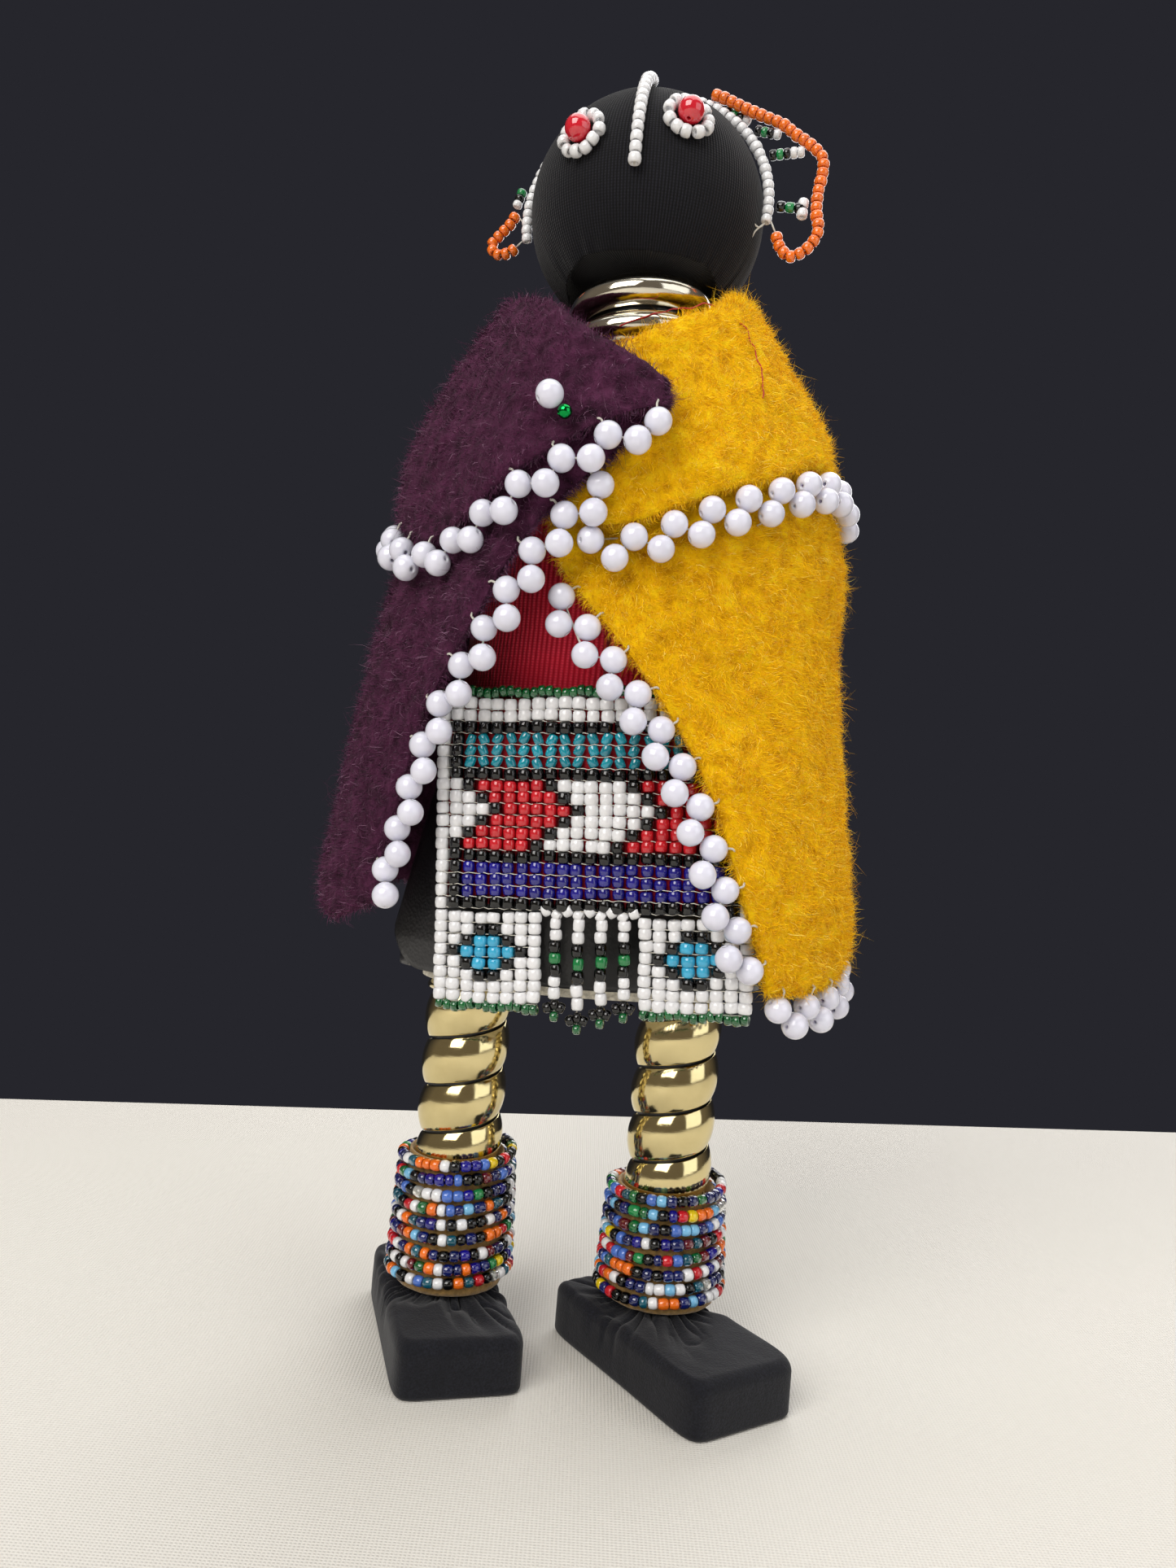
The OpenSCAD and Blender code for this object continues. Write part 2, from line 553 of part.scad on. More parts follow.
// Strip of beads up the middle of the face and over the crown
nose_low = -4;
nose_high = 72;
module nose_beads() color("white") translate([0, 0, head_z]) rotate([0, 0, -face_turn - 90])
    rotate([90, 0, 0]) rotate([0, 0, nose_low])
    rotate_extrude(angle = nose_high - nose_low, $fn = 96)
        translate([head_r + seed_r + 0.05, 0]) circle(seed_r, $fn = 24);

// The headband lies in a plane of its own, leaning back over the crown
band_turn = -15;
band_lean = 6;
band_forward = 3;
band_r = 29;
band_low = -8;
band_high = 192;
module on_band() translate([0, 0, head_z]) rotate([0, 0, band_turn]) rotate([90 - band_lean, 0, 0])
    translate([0, 0, band_forward]) children();
module headband() color("white") on_band() rotate([0, 0, band_low])
    rotate_extrude(angle = band_high - band_low, $fn = 96) translate([band_r, 0]) circle(seed_r, $fn = 24);

// Angle round the band and distance from its middle along the frill's edge
right_frill = [[65, 32], [58, 32.2], [51, 32.6], [45, 33.4], [39, 34.8], [33, 36.7], [27, 38],
    [22, 39.9], [16, 41.8], [11, 41.4], [4, 40.1], [-3, 40.1], [-9, 41.3], [-15, 40.2],
    [-19.4, 37.2], [-17, 34], [-12, 32]];
left_frill = [[177.5, 32], [182, 33.2], [186.5, 36], [190, 38], [194, 36.6], [194.5, 33.6], [193, 31.9]];
spoke_r = 1.2;
function frill_point(p) = [p[1] * cos(p[0]), p[1] * sin(p[0]), 0];
module frill_strand(pts) on_band()
    plane_tube(curve([for (p = pts) frill_point(p)], 3), [0, 0, 1], seed_r, 8);
module spoke(a1, r1, a2, r2) let (p = frill_point([a1, r1]), q = frill_point([a2, r2]), d = q - p)
    translate(p) rotate([0, 0, atan2(d[1], d[0])]) rotate([0, 90, 0]) cylinder(h = norm(d), r = spoke_r);
module right_frill_strand() color("darkorange") frill_strand(right_frill);
module right_frill_spokes() color([0.05, 0.2, 0.1]) on_band() {
    spoke(38, 31.9, 32, 34.2);
    spoke(24, 30.9, 20.5, 37.2);
    spoke(0, 30.9, -1.5, 37.2);
}
module left_frill_strand() color("darkorange") frill_strand(left_frill);
module left_frill_spokes() color([0.05, 0.2, 0.1]) on_band() spoke(168, 32, 173.5, 32.2);

// ---------- The whole doll ----------

module seat() translate(-box_middle) children();

seat() left_foot_block();
seat() right_foot_block();
seat() left_foot_cover();
seat() right_foot_cover();
seat() left_leg_rod();
seat() right_leg_rod();
seat() left_leg_coil();
seat() right_leg_coil();
seat() left_ankle_wrap();
seat() right_ankle_wrap();
seat() left_ankle_beads();
seat() right_ankle_beads();
seat() torso_stuffing();
seat() red_top();
seat() vinyl_skirt();
seat() waist_cord();
seat() apron_panel();
seat() left_flap();
seat() right_flap();
seat() fringe_1();
seat() fringe_2();
seat() fringe_3();
seat() fringe_4();
seat() neck_post();
seat() neck_dowel();
seat() neck_coil();
seat() purple_blanket();
seat() yellow_blanket();
seat() purple_front_pearls();
seat() yellow_front_pearls();
seat() purple_collar_pearls();
seat() yellow_collar_pearls();
seat() yellow_hem_pearls();
seat() pin_shaft();
seat() pin_pearl();
seat() pin_stop_bead();
seat() head_stuffing();
seat() head_cover();
seat() nose_beads();
seat() left_eye_bead();
seat() right_eye_bead();
seat() left_eye_ring();
seat() right_eye_ring();
seat() headband();
seat() right_frill_strand();
seat() right_frill_spokes();
seat() left_frill_strand();
seat() left_frill_spokes();
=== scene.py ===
"""Beaded cloth doll in a purple and yellow fleece blanket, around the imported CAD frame.

Lengths are in millimetres in the doll's own frame: the Z axis runs up through the middle of its head,
it faces -Y, and its left and right are the viewer's. place() turns them into metres in the row frame.
"""

import itertools
import math

import bpy
import numpy as np
from mathutils import Matrix, Vector


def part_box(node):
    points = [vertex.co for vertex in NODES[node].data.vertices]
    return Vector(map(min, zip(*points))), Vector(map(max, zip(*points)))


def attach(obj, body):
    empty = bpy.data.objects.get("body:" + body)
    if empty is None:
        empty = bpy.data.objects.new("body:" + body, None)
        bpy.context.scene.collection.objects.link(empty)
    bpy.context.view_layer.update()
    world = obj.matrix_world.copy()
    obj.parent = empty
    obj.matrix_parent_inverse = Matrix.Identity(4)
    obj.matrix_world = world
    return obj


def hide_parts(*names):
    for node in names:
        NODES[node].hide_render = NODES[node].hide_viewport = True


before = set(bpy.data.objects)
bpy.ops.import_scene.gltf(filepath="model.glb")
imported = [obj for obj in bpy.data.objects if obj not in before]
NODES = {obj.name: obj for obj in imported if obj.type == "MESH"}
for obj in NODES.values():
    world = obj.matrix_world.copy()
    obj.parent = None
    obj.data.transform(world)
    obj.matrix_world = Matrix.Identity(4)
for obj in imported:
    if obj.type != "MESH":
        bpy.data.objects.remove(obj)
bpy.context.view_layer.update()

MM = 0.001
NECK_Y = -6.0
DOWEL_MIDDLE = np.mean(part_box("neck_dowel"), axis=0)
DOLL_ORIGIN = np.array([DOWEL_MIDDLE[0], DOWEL_MIDDLE[1] - NECK_Y * MM, 0])


# ---------- Numbers and points ----------


def place(points):
    """Points of the doll's frame in metres of the row frame."""
    return np.asarray(points, float) * MM + DOLL_ORIGIN


def unplace(points):
    return (np.asarray(points, float) - DOLL_ORIGIN) / MM


def smooth(t):
    t = np.clip(t, 0, 1)
    return t * t * (3 - 2 * t)


def mix(a, b, t):
    return a + (b - a) * t


def unit(v):
    v = np.asarray(v, float)
    return v / np.maximum(np.linalg.norm(v, axis=-1, keepdims=True), 1e-9)


def turn(axis, degrees):
    """3x3 rotation matrix about an axis letter."""
    return np.array(Matrix.Rotation(math.radians(degrees), 3, axis))


def round_angles(n):
    return 2 * math.pi * np.arange(n) / n


def on_circle(a, r=1.0, z=0.0):
    """Points at angles round the Z axis."""
    return np.stack(np.broadcast_arrays(r * np.cos(a), r * np.sin(a), z), -1)


def table_value(table, column, x):
    """Value from a table's column against its first column, smooth through the rows."""
    t = np.asarray(table, float)
    xs, ys = t[:, 0], t[:, column]
    slope = np.gradient(ys, xs)
    x = np.clip(x, xs[0], xs[-1])
    i = np.clip(np.searchsorted(xs, x) - 1, 0, len(xs) - 2)
    h = xs[i + 1] - xs[i]
    s = (x - xs[i]) / h
    return (
        (2 * s**3 - 3 * s**2 + 1) * ys[i]
        + (s**3 - 2 * s**2 + s) * h * slope[i]
        + (3 * s**2 - 2 * s**3) * ys[i + 1]
        + (s**3 - s**2) * h * slope[i + 1]
    )


def catmull(points, steps):
    """Smooth curve through given points."""
    p = np.asarray(points, float)
    t = np.linspace(0, len(p) - 1, steps * (len(p) - 1) + 1)
    i = np.minimum(t.astype(int), len(p) - 2)
    u = (t - i)[:, None]
    a, b = p[np.maximum(i - 1, 0)], p[i]
    c, d = p[i + 1], p[np.minimum(i + 2, len(p) - 1)]
    return 0.5 * (2 * b + (c - a) * u + (2 * a - 5 * b + 4 * c - d) * u**2 + (3 * b - 3 * c + d - a) * u**3)


def lengths_along(path):
    return np.concatenate([[0], np.cumsum(np.linalg.norm(np.diff(path, axis=0), axis=1))])


def along(path, places, reach=0.4):
    """Points at lengths along a path, and the directions there."""
    path = np.asarray(path, float)
    run = lengths_along(path)
    at, ahead, back = (
        np.stack([np.interp(places + step, run, path[:, k]) for k in range(3)], 1) for step in (0, reach, -reach)
    )
    return at, unit(ahead - back)


# Points along each side of the block of random numbers that repeats
LATTICE = 32


def noise(points, size, seed):
    """Smooth noise from -1 to 1 with features of one size."""
    values = np.random.default_rng(seed).random((LATTICE,) * 3) * 2 - 1
    q = np.asarray(points, float) / size
    cell = np.floor(q).astype(int)
    f = q - cell
    f = f * f * (3 - 2 * f)
    total = np.zeros(len(q))
    for corner in itertools.product((0, 1), repeat=3):
        w = np.prod(np.where(corner, f, 1 - f), axis=1)
        i = (cell + corner) % LATTICE
        total += w * values[i[:, 0], i[:, 1], i[:, 2]]
    return total


# ---------- Meshes ----------


def grid_faces(rows, cols, wrap_rows=False, wrap_cols=False, flip=False):
    r = np.arange(rows if wrap_rows else rows - 1)
    c = np.arange(cols if wrap_cols else cols - 1)
    r, c = (g.ravel() for g in np.meshgrid(r, c, indexing="ij"))
    r2, c2 = (r + 1) % rows, (c + 1) % cols
    quads = np.stack([r * cols + c, r * cols + c2, r2 * cols + c2, r2 * cols + c], 1)
    return quads[:, ::-1] if flip else quads


def closed_skin(rows, cols, flip=False):
    """Faces of a grid that wraps round, with a cap at each end."""
    first = np.arange(cols)[None]
    last = first + (rows - 1) * cols
    ends = [first, last[:, ::-1]] if flip else [first[:, ::-1], last]
    return [grid_faces(rows, cols, wrap_cols=True, flip=flip), *ends]


def add(name, data):
    """An object in the scene for a mesh, a light or a camera."""
    obj = bpy.data.objects.new(name, data)
    bpy.context.scene.collection.objects.link(obj)
    return obj


def piece(name, co, faces, materials, body, stands_for=(), slot=None, indices=None, cloth=None):
    """A shaded mesh of the doll that rides on a body; cloth is where each point is on the flat cloth."""
    groups = [np.asarray(f, int) for f in faces if len(f)]
    mesh = bpy.data.meshes.new(name)
    mesh.vertices.add(len(co))
    mesh.vertices.foreach_set("co", place(co).astype(np.float32).ravel())
    totals = np.concatenate([np.full(len(g), g.shape[1]) for g in groups])
    mesh.loops.add(int(totals.sum()))
    mesh.loops.foreach_set("vertex_index", np.concatenate([g.ravel() for g in groups]).astype(np.int32))
    mesh.polygons.add(len(totals))
    starts = np.concatenate([[0], np.cumsum(totals)[:-1]])
    mesh.polygons.foreach_set("loop_start", starts.astype(np.int32))
    mesh.polygons.foreach_set("loop_total", totals.astype(np.int32))
    mesh.polygons.foreach_set("use_smooth", np.ones(len(totals), bool))
    for m in materials if isinstance(materials, list) else [materials]:
        mesh.materials.append(m)
    if indices is not None:
        mesh.polygons.foreach_set("material_index", np.asarray(indices, np.int32))
    if cloth is not None:
        layer = mesh.attributes.new("cloth", "FLOAT_VECTOR", "POINT")
        layer.data.foreach_set("vector", np.asarray(cloth, np.float32).ravel())
    mesh.update(calc_edges=True)
    mesh.validate()
    obj = add(name, mesh)
    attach(obj, body)
    if stands_for:
        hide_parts(*stands_for)
    return obj


def shell_between(over, under):
    """Vertices and faces of the closed solid between two grids of points."""
    rows, cols = over.shape[:2]
    n = rows * cols
    co = np.concatenate([over.reshape(-1, 3), under.reshape(-1, 3)])
    top = grid_faces(rows, cols)
    ring = np.concatenate(
        [
            np.arange(cols),
            np.arange(1, rows) * cols + cols - 1,
            (rows - 1) * cols + np.arange(cols - 2, -1, -1),
            np.arange(rows - 2, 0, -1) * cols,
        ]
    )
    after = np.roll(ring, -1)
    sides = np.stack([ring, ring + n, after + n, after], 1)
    return co, np.concatenate([top, top[:, ::-1] + n, sides])


def frames_along(path):
    """Two directions square to a path at each of its points, without sudden turns."""
    path = np.asarray(path, float)
    tangent = unit(np.gradient(path, axis=0))
    side = np.empty_like(path)
    start = np.array([0, 0, 1.0]) if abs(tangent[0][2]) < 0.9 else np.array([1.0, 0, 0])
    for i, t in enumerate(tangent):
        start = unit(start - t * (start @ t))
        side[i] = start
    return side, np.cross(tangent, side)


def tube(path, radius, sides=8, closed=False):
    """Vertices and faces of a round tube along a path."""
    path = np.asarray(path, float)
    a, b = frames_along(path)
    angle = round_angles(sides)[:, None]
    co = path[:, None] + radius * (np.cos(angle) * a[:, None] + np.sin(angle) * b[:, None])
    faces = [grid_faces(len(path), sides, True, True)] if closed else closed_skin(len(path), sides)
    return co.reshape(-1, 3), faces


def join(parts):
    """One (vertices, faces) from many."""
    co, faces, start = [], {}, 0
    for v, groups in parts:
        for g in groups:
            faces.setdefault(g.shape[1], []).append(g + start)
        co.append(v)
        start += len(v)
    return np.concatenate(co), [np.concatenate(g) for g in faces.values()]


def threads(name, paths, radius, body, slot, sides=6):
    return piece(name, *join([tube(p, radius, sides) for p in paths]), WHITE_THREAD, body, slot=slot)


# ---------- Beads ----------


def lathe(r, z, around, flip=False):
    """Vertices and faces of a closed outline of radii and heights turned round the Z axis."""
    co = on_circle(round_angles(around)[:, None], r[None], z[None])
    return co.reshape(-1, 3), grid_faces(around, len(r), True, True, flip)


def bead_shape(hole, square, around=14, across=9):
    """Bead of radius 1 and length 1 along Z: square 2 is round in section, and more is squarer."""
    t = round_angles(across)
    power = 2.0 / square
    x = np.sign(np.cos(t)) * np.abs(np.cos(t)) ** power
    z = np.sign(np.sin(t)) * np.abs(np.sin(t)) ** power * 0.5
    return lathe(hole + (1 - hole) * (x + 1) / 2, z, around)


def pearl_shape(hole, around=28, across=18):
    """Round bead of radius 1 with a thread hole along Z."""
    reach = math.asin(hole)
    t = np.linspace(reach, math.pi - reach, across)
    inner, mouth = hole * 0.8, 0.75
    return lathe(np.append(np.sin(t), [inner, inner]), np.append(np.cos(t), [-mouth, mouth]), around, flip=True)


SEED = bead_shape(0.3, 2.7)
ROUND_SEED = bead_shape(0.3, 2.2)
PEARL = pearl_shape(0.17)
PEARL_R = 2.85


def beads(name, spots, shape, body, jitter, seed, stands_for=(), slot=None):
    """One piece from (centre, axis, radius, length, material) spots, each bead a little different."""
    rng = np.random.default_rng(seed)
    template, quads = shape
    count = len(spots)
    centre, axis, radius, length, looks = zip(*spots)
    axis = unit(np.array(axis, float) + rng.normal(0, jitter, (count, 3)))
    helper = np.where(np.abs(axis[:, 2:]) < 0.9, [[0, 0, 1.0]], [[1.0, 0, 0]])
    u = unit(np.cross(helper, axis))
    v = np.cross(axis, u)
    size = 1 + rng.normal(0, jitter * 0.7, (count, 2))
    radius = np.array(radius)[:, None] * np.clip(size[:, :1], 0.9, 1.08)
    length = np.array(length)[:, None] * np.clip(size[:, 1:], 0.86, 1.06)
    spin = (rng.random(count) * 2 * math.pi)[:, None]
    c, s = np.cos(spin), np.sin(spin)
    scale = np.stack([radius * (c * u + s * v), radius * (c * v - s * u), length * axis], 1)
    co = np.array(centre, float)[:, None] + np.einsum("tk,bkx->btx", template, scale)
    faces = (quads[None] + len(template) * np.arange(count)[:, None, None]).reshape(-1, 4)
    materials = list(dict.fromkeys(looks))
    indices = np.repeat([materials.index(m) for m in looks], len(quads))
    return piece(name, co.reshape(-1, 3), [faces], materials, body, stands_for, slot, indices)


def islands(node):
    """Centre of each separate solid of a CAD node, in the doll's frame."""
    mesh = NODES[node].data
    co = np.array([v.co for v in mesh.vertices])
    _, first, same = np.unique(np.round(co, 6), axis=0, return_index=True, return_inverse=True)
    spot = first[same.ravel()]
    pairs = spot[np.array([e.vertices[:] for e in mesh.edges])]
    label, known = np.arange(len(co)), None
    while known is None or (label != known).any():
        known = label.copy()
        np.minimum.at(label, pairs.ravel(), np.repeat(known[pairs].min(1), 2))
        label = label[label]
    label = label[spot]
    boxes = [co[label == k] for k in np.unique(label)]
    return unplace([(b.min(0) + b.max(0)) / 2 for b in boxes])


def in_order(points, start):
    """Points as a chain, each next to the one before, from the one nearest to start."""
    left = list(range(len(points)))
    here = np.asarray(start, float)
    chain = []
    while left:
        k = min(left, key=lambda i: np.linalg.norm(points[i] - here))
        left.remove(k)
        chain.append(points[k])
        here = points[k]
    return np.array(chain)


# ---------- Materials ----------


class Look:
    """A Principled material, and short calls for the nodes that feed it."""

    def __init__(self, name, colour, roughness, **sockets):
        self.material = bpy.data.materials.new(name)
        self.material.use_nodes = True
        self.tree = self.material.node_tree
        self.shader = self.tree.nodes["Principled BSDF"]
        sockets.update(Base_Color=(*colour, 1), Roughness=roughness)
        for key, value in sockets.items():
            self.shader.inputs[key.replace("_", " ")].default_value = value
        self.at = self.node("TexCoord").outputs["Object"]

    def node(self, kind, links=None, **settings):
        n = self.tree.nodes.new("ShaderNode" + kind)
        for key, value in settings.items():
            if hasattr(n, key):
                setattr(n, key, value)
            else:
                n.inputs[key.replace("_", " ")].default_value = value
        for socket, source in (links or {}).items():
            self.tree.links.new(source, n.inputs[socket])
        return n

    def feed(self, n, values):
        """Sets or links a node's inputs, by number."""
        for socket, x in values.items():
            if isinstance(x, (int, float)):
                n.inputs[socket].default_value = x
            elif isinstance(x, tuple):
                n.inputs[socket].default_value = (*x, 1)
            else:
                self.tree.links.new(x, n.inputs[socket])

    def scaled(self, scale, vector=None):
        return self.node("Mapping", {"Vector": vector or self.at}, Scale=scale).outputs["Vector"]

    def noise(self, scale, detail=3.0, rough=0.55, at=None):
        return self.node(
            "TexNoise", {"Vector": at or self.at}, Scale=scale, Detail=detail, Roughness=rough
        ).outputs["Fac"]

    def wave(self, vector, scale, distort, direction="X"):
        return self.node(
            "TexWave", {"Vector": vector}, bands_direction=direction, Scale=scale, Distortion=distort, Detail=1.0
        ).outputs["Fac"]

    def ramp(self, value, stops):
        n = self.node("ValToRGB", {"Fac": value})
        bar = n.color_ramp
        while len(bar.elements) < len(stops):
            bar.elements.new(0.5)
        for element, (at, colour) in zip(bar.elements, stops):
            element.position = at
            element.color = (*colour, 1)
        return n.outputs["Color"]

    def tints(self, stops):
        """Colour that goes from piece to piece over the stops."""
        return self.ramp(self.node("NewGeometry").outputs["Random Per Island"], stops)

    def range(self, value, low, high, start=0.0, end=1.0):
        return self.node(
            "MapRange", {"Value": value}, From_Min=start, From_Max=end, To_Min=low, To_Max=high
        ).outputs["Result"]

    def math(self, kind, a, b):
        n = self.node("Math", operation=kind)
        self.feed(n, {0: a, 1: b})
        return n.outputs[0]

    def blend(self, fac, a, b):
        n = self.node("Mix", data_type="RGBA")
        self.feed(n, {0: fac, 6: a, 7: b})
        return n.outputs[2]

    def colour(self, source):
        self.tree.links.new(source, self.shader.inputs["Base Color"])

    def rough(self, source):
        self.tree.links.new(source, self.shader.inputs["Roughness"])

    def bump(self, height, depth_mm, strength, below=None):
        links = {"Height": height, "Normal": below} if below else {"Height": height}
        normal = self.node("Bump", links, Distance=depth_mm * MM, Strength=strength).outputs["Normal"]
        self.tree.links.new(normal, self.shader.inputs["Normal"])
        return normal


def srgb(r, g, b):
    """Linear colour from the usual 0 to 255 numbers."""
    return tuple((c / 255 / 12.92) if c <= 10 else ((c / 255 + 0.055) / 1.055) ** 2.4 for c in (r, g, b))


def shade(colour, k):
    return tuple(min(1.0, c * k) for c in colour)


def glass_look(name, colour, spread, clear=0.0, rough=0.1, coat=0.6):
    """Glossy seed bead glass, each bead a little lighter or darker than the next."""
    look = Look(name, colour, rough, Coat_Weight=coat, Coat_Roughness=0.06, Specular_IOR_Level=0.55,
                Transmission_Weight=clear, IOR=1.5)
    tint = look.tints([(0, shade(colour, 1 - spread)), (1, shade(colour, 1 + spread))])
    look.colour(look.blend(look.range(look.noise(900, 2), 0, 0.3, 0.35, 0.75), tint, shade(colour, 0.72)))
    look.rough(look.range(look.noise(500), rough * 0.7, rough * 2.2, 0.3, 0.7))
    look.bump(look.noise(700, 2), 0.12, 0.5)
    return look.material


def pearl_look(name, colour, glow):
    look = Look(name, colour, 0.16, Coat_Weight=0.7, Coat_Roughness=0.05, Specular_IOR_Level=0.5,
                Subsurface_Weight=glow, Subsurface_Radius=(1.0, 0.9, 1.0), Subsurface_Scale=0.0022)
    tint = look.tints([(0, shade(colour, 0.93)), (0.6, colour), (1, shade(colour, 1.03))])
    look.colour(look.blend(look.range(look.noise(260, 2), 0, 0.35, 0.35, 0.7), tint, shade(colour, 0.86)))
    look.rough(look.range(look.noise(420), 0.1, 0.26, 0.3, 0.7))
    look.bump(look.noise(330, 1), 0.1, 0.35)
    return look.material


def foil_look(name, light, dark):
    """Thin polished plated strip with fine scuffs round it and dull patches."""
    look = Look(name, light, 0.1, Metallic=1.0)
    scuff = look.noise(3, 6, 0.7, look.scaled((60, 60, 900)))
    patch = look.noise(110, 4)
    look.colour(look.blend(look.range(patch, 0, 0.6, 0.45, 0.75), light, dark))
    look.rough(look.math("ADD", look.range(scuff, 0.05, 0.13, 0.35, 0.7), look.range(patch, 0, 0.1, 0.5, 0.8)))
    look.bump(scuff, 0.04, 0.3, look.bump(look.noise(130, 2), 0.35, 0.35))
    return look.material


def fleece_look(name, deep, mid, light):
    """Brushed fleece ground: matted clumps with painted shade in the dips between them and painted highlight on top.
    """
    look = Look(name, mid, 0.95, Sheen_Weight=0.12, Sheen_Roughness=0.5, Specular_IOR_Level=0.1,
                Sheen_Tint=(*mix(np.array(mid), 1.0, 0.35), 1))
    clump = look.noise(240, 5, 0.65)
    # The clump noise that makes the bump also paints the colour: painted shade where the clumps dip, painted
    # highlight on their tops
    tint = look.ramp(clump, [(0.3, deep), (0.5, mid), (0.72, light)])
    look.colour(look.blend(look.range(look.noise(45, 2), 0, 0.4, 0.45, 0.7), tint, shade(mid, 0.8)))
    look.bump(look.noise(1500, 4, 0.7, look.scaled((1, 1, 2.4))), 0.35, 0.8, look.bump(clump, 1.6, 0.9))
    return look.material


def fibre_look(name, deep, light, tip):
    look = Look(name, light, 0.9, Sheen_Weight=0.08, Specular_IOR_Level=0.15)
    tint = look.tints([(0, deep), (0.5, light), (0.86, light), (1, tip)])
    look.colour(look.blend(look.range(look.noise(220), 0, 0.5, 0.4, 0.7), tint, deep))
    look.rough(look.range(look.noise(300), 0.8, 0.98))
    return look.material


# A wave texture of scale 1 has this many turns in a unit
WAVE_TURN = 20 / (2 * math.pi)


def knit_look(name, colour, light, rib_mm, row_mm, depth, sheen):
    """Fine machine knit: ribs along one way of the cloth and stitches along the other, with painted shade and
    highlight.
    """
    look = Look(name, colour, 0.88, Sheen_Weight=sheen, Sheen_Roughness=0.4, Specular_IOR_Level=0.2)
    cloth = look.node("Attribute", attribute_name="cloth").outputs["Vector"]
    ribs, rows = (1 / (mm * MM) / WAVE_TURN for mm in (rib_mm, row_mm))
    rib = look.wave(look.scaled((ribs, 0, 0), cloth), 1.0, 0.35, "X")
    stitch = look.wave(look.scaled((0, rows, 0), cloth), 1.0, 0.35, "Y")
    weave = look.math("MULTIPLY", rib, look.range(stitch, 0.6, 1))
    fluff = look.noise(2600)
    # The weave that makes the bump also paints the colour: painted shade in the grooves, painted highlight (light) on
    # ribs and stitches
    tint = look.blend(look.range(weave, 0, 1), shade(colour, 0.55), light)
    look.colour(look.blend(look.range(look.noise(90), 0, 0.5, 0.45, 0.75), tint, colour))
    look.rough(look.range(fluff, 0.78, 0.97))
    look.bump(look.math("ADD", weave, look.math("MULTIPLY", fluff, 0.45)), depth, 0.8)
    return look.material


def cotton_look(name, colour, light):
    """Matt close-woven cloth with faint creases, painted highlight on the raised specks of its weave and painted
    shade between.
    """
    look = Look(name, colour, 0.9, Sheen_Weight=0.15, Sheen_Roughness=0.5, Specular_IOR_Level=0.2)
    weave, crease = look.noise(2400), look.noise(150, 4, 0.6)
    # The weave noise that makes the bump also paints the colour: painted shade in its low places, painted highlight
    # (light) on its raised specks
    tint = look.ramp(weave, [(0.35, shade(colour, 0.7)), (0.7, light)])
    look.colour(look.blend(look.range(crease, 0, 0.6, 0.4, 0.7), tint, colour))
    look.rough(look.range(weave, 0.8, 0.98))
    look.bump(weave, 0.12, 0.7, look.bump(crease, 0.5, 0.5))
    return look.material


def felt_look(name, colour):
    look = Look(name, colour, 0.95, Sheen_Weight=0.35, Specular_IOR_Level=0.15)
    look.colour(look.ramp(look.noise(900, 4), [(0.3, shade(colour, 0.6)), (0.7, shade(colour, 1.3))]))
    look.rough(look.range(look.noise(300), 0.85, 1))
    look.bump(look.noise(1400, 4), 0.3, 0.8)
    return look.material


def thread_look(name, colour):
    look = Look(name, colour, 0.75, Sheen_Weight=0.2)
    twist = look.wave(look.at, 2600, 2, "DIAGONAL")
    # The twist that makes the bump also paints the colour: painted shade in the grooves of the twist
    look.colour(look.blend(twist, shade(colour, 0.7), colour))
    look.rough(look.range(twist, 0.65, 0.85))
    look.bump(twist, 0.05, 0.6)
    return look.material


def vinyl_look(name, colour):
    look = Look(name, colour, 0.38, Coat_Weight=0.25, Coat_Roughness=0.3)
    grain = look.node("TexVoronoi", {"Vector": look.at}, Scale=1300).outputs["Distance"]
    look.colour(look.blend(look.range(look.noise(60, 4), 0, 0.6, 0.45, 0.75), colour, shade(colour, 1.9)))
    look.rough(look.range(look.noise(220, 4), 0.3, 0.52, 0.3, 0.7))
    look.bump(grain, 0.12, 0.6, look.bump(look.noise(55), 0.8, 0.4))
    return look.material


def wood_look(name, colour):
    look = Look(name, colour, 0.6)
    grain = look.noise(14, 5, at=look.scaled((40, 40, 4)))
    look.colour(look.ramp(grain, [(0.3, shade(colour, 0.65)), (0.7, shade(colour, 1.1))]))
    look.rough(look.range(grain, 0.5, 0.75))
    look.bump(grain, 0.1, 0.5)
    return look.material


WHITE = glass_look("white_glass", srgb(232, 232, 234), 0.05, rough=0.14)
BLACK = glass_look("black_glass", srgb(3, 3, 4), 0.3, rough=0.05, coat=0.3)
RED = glass_look("red_glass", srgb(196, 26, 38), 0.12)
BLUE = glass_look("dark_blue_glass", srgb(22, 16, 128), 0.25, rough=0.08, coat=0.9)
TEAL = glass_look("teal_glass", srgb(0, 146, 166), 0.3, clear=0.15, rough=0.05, coat=1.0)
TURQUOISE = glass_look("turquoise_glass", srgb(60, 172, 212), 0.08)
GREEN = glass_look("green_glass", srgb(0, 96, 44), 0.25, clear=0.12, rough=0.05, coat=1.0)
MID_GREEN = glass_look("mid_green_glass", srgb(30, 130, 70), 0.15, rough=0.08)
ORANGE = glass_look("orange_glass", srgb(238, 112, 22), 0.08)
SKY = glass_look("sky_glass", srgb(120, 186, 226), 0.1)
MID_BLUE = glass_look("mid_blue_glass", srgb(74, 112, 196), 0.12)
SEA = glass_look("sea_glass", srgb(8, 88, 108), 0.3, clear=0.2, rough=0.05, coat=1.0)
NIGHT = glass_look("night_glass", srgb(6, 22, 92), 0.3, clear=0.12, rough=0.05, coat=1.0)
CLEAR = glass_look("clear_glass", srgb(206, 206, 200), 0.08, clear=0.55, rough=0.05, coat=1.0)
YELLOW = glass_look("yellow_glass", srgb(232, 200, 16), 0.08)
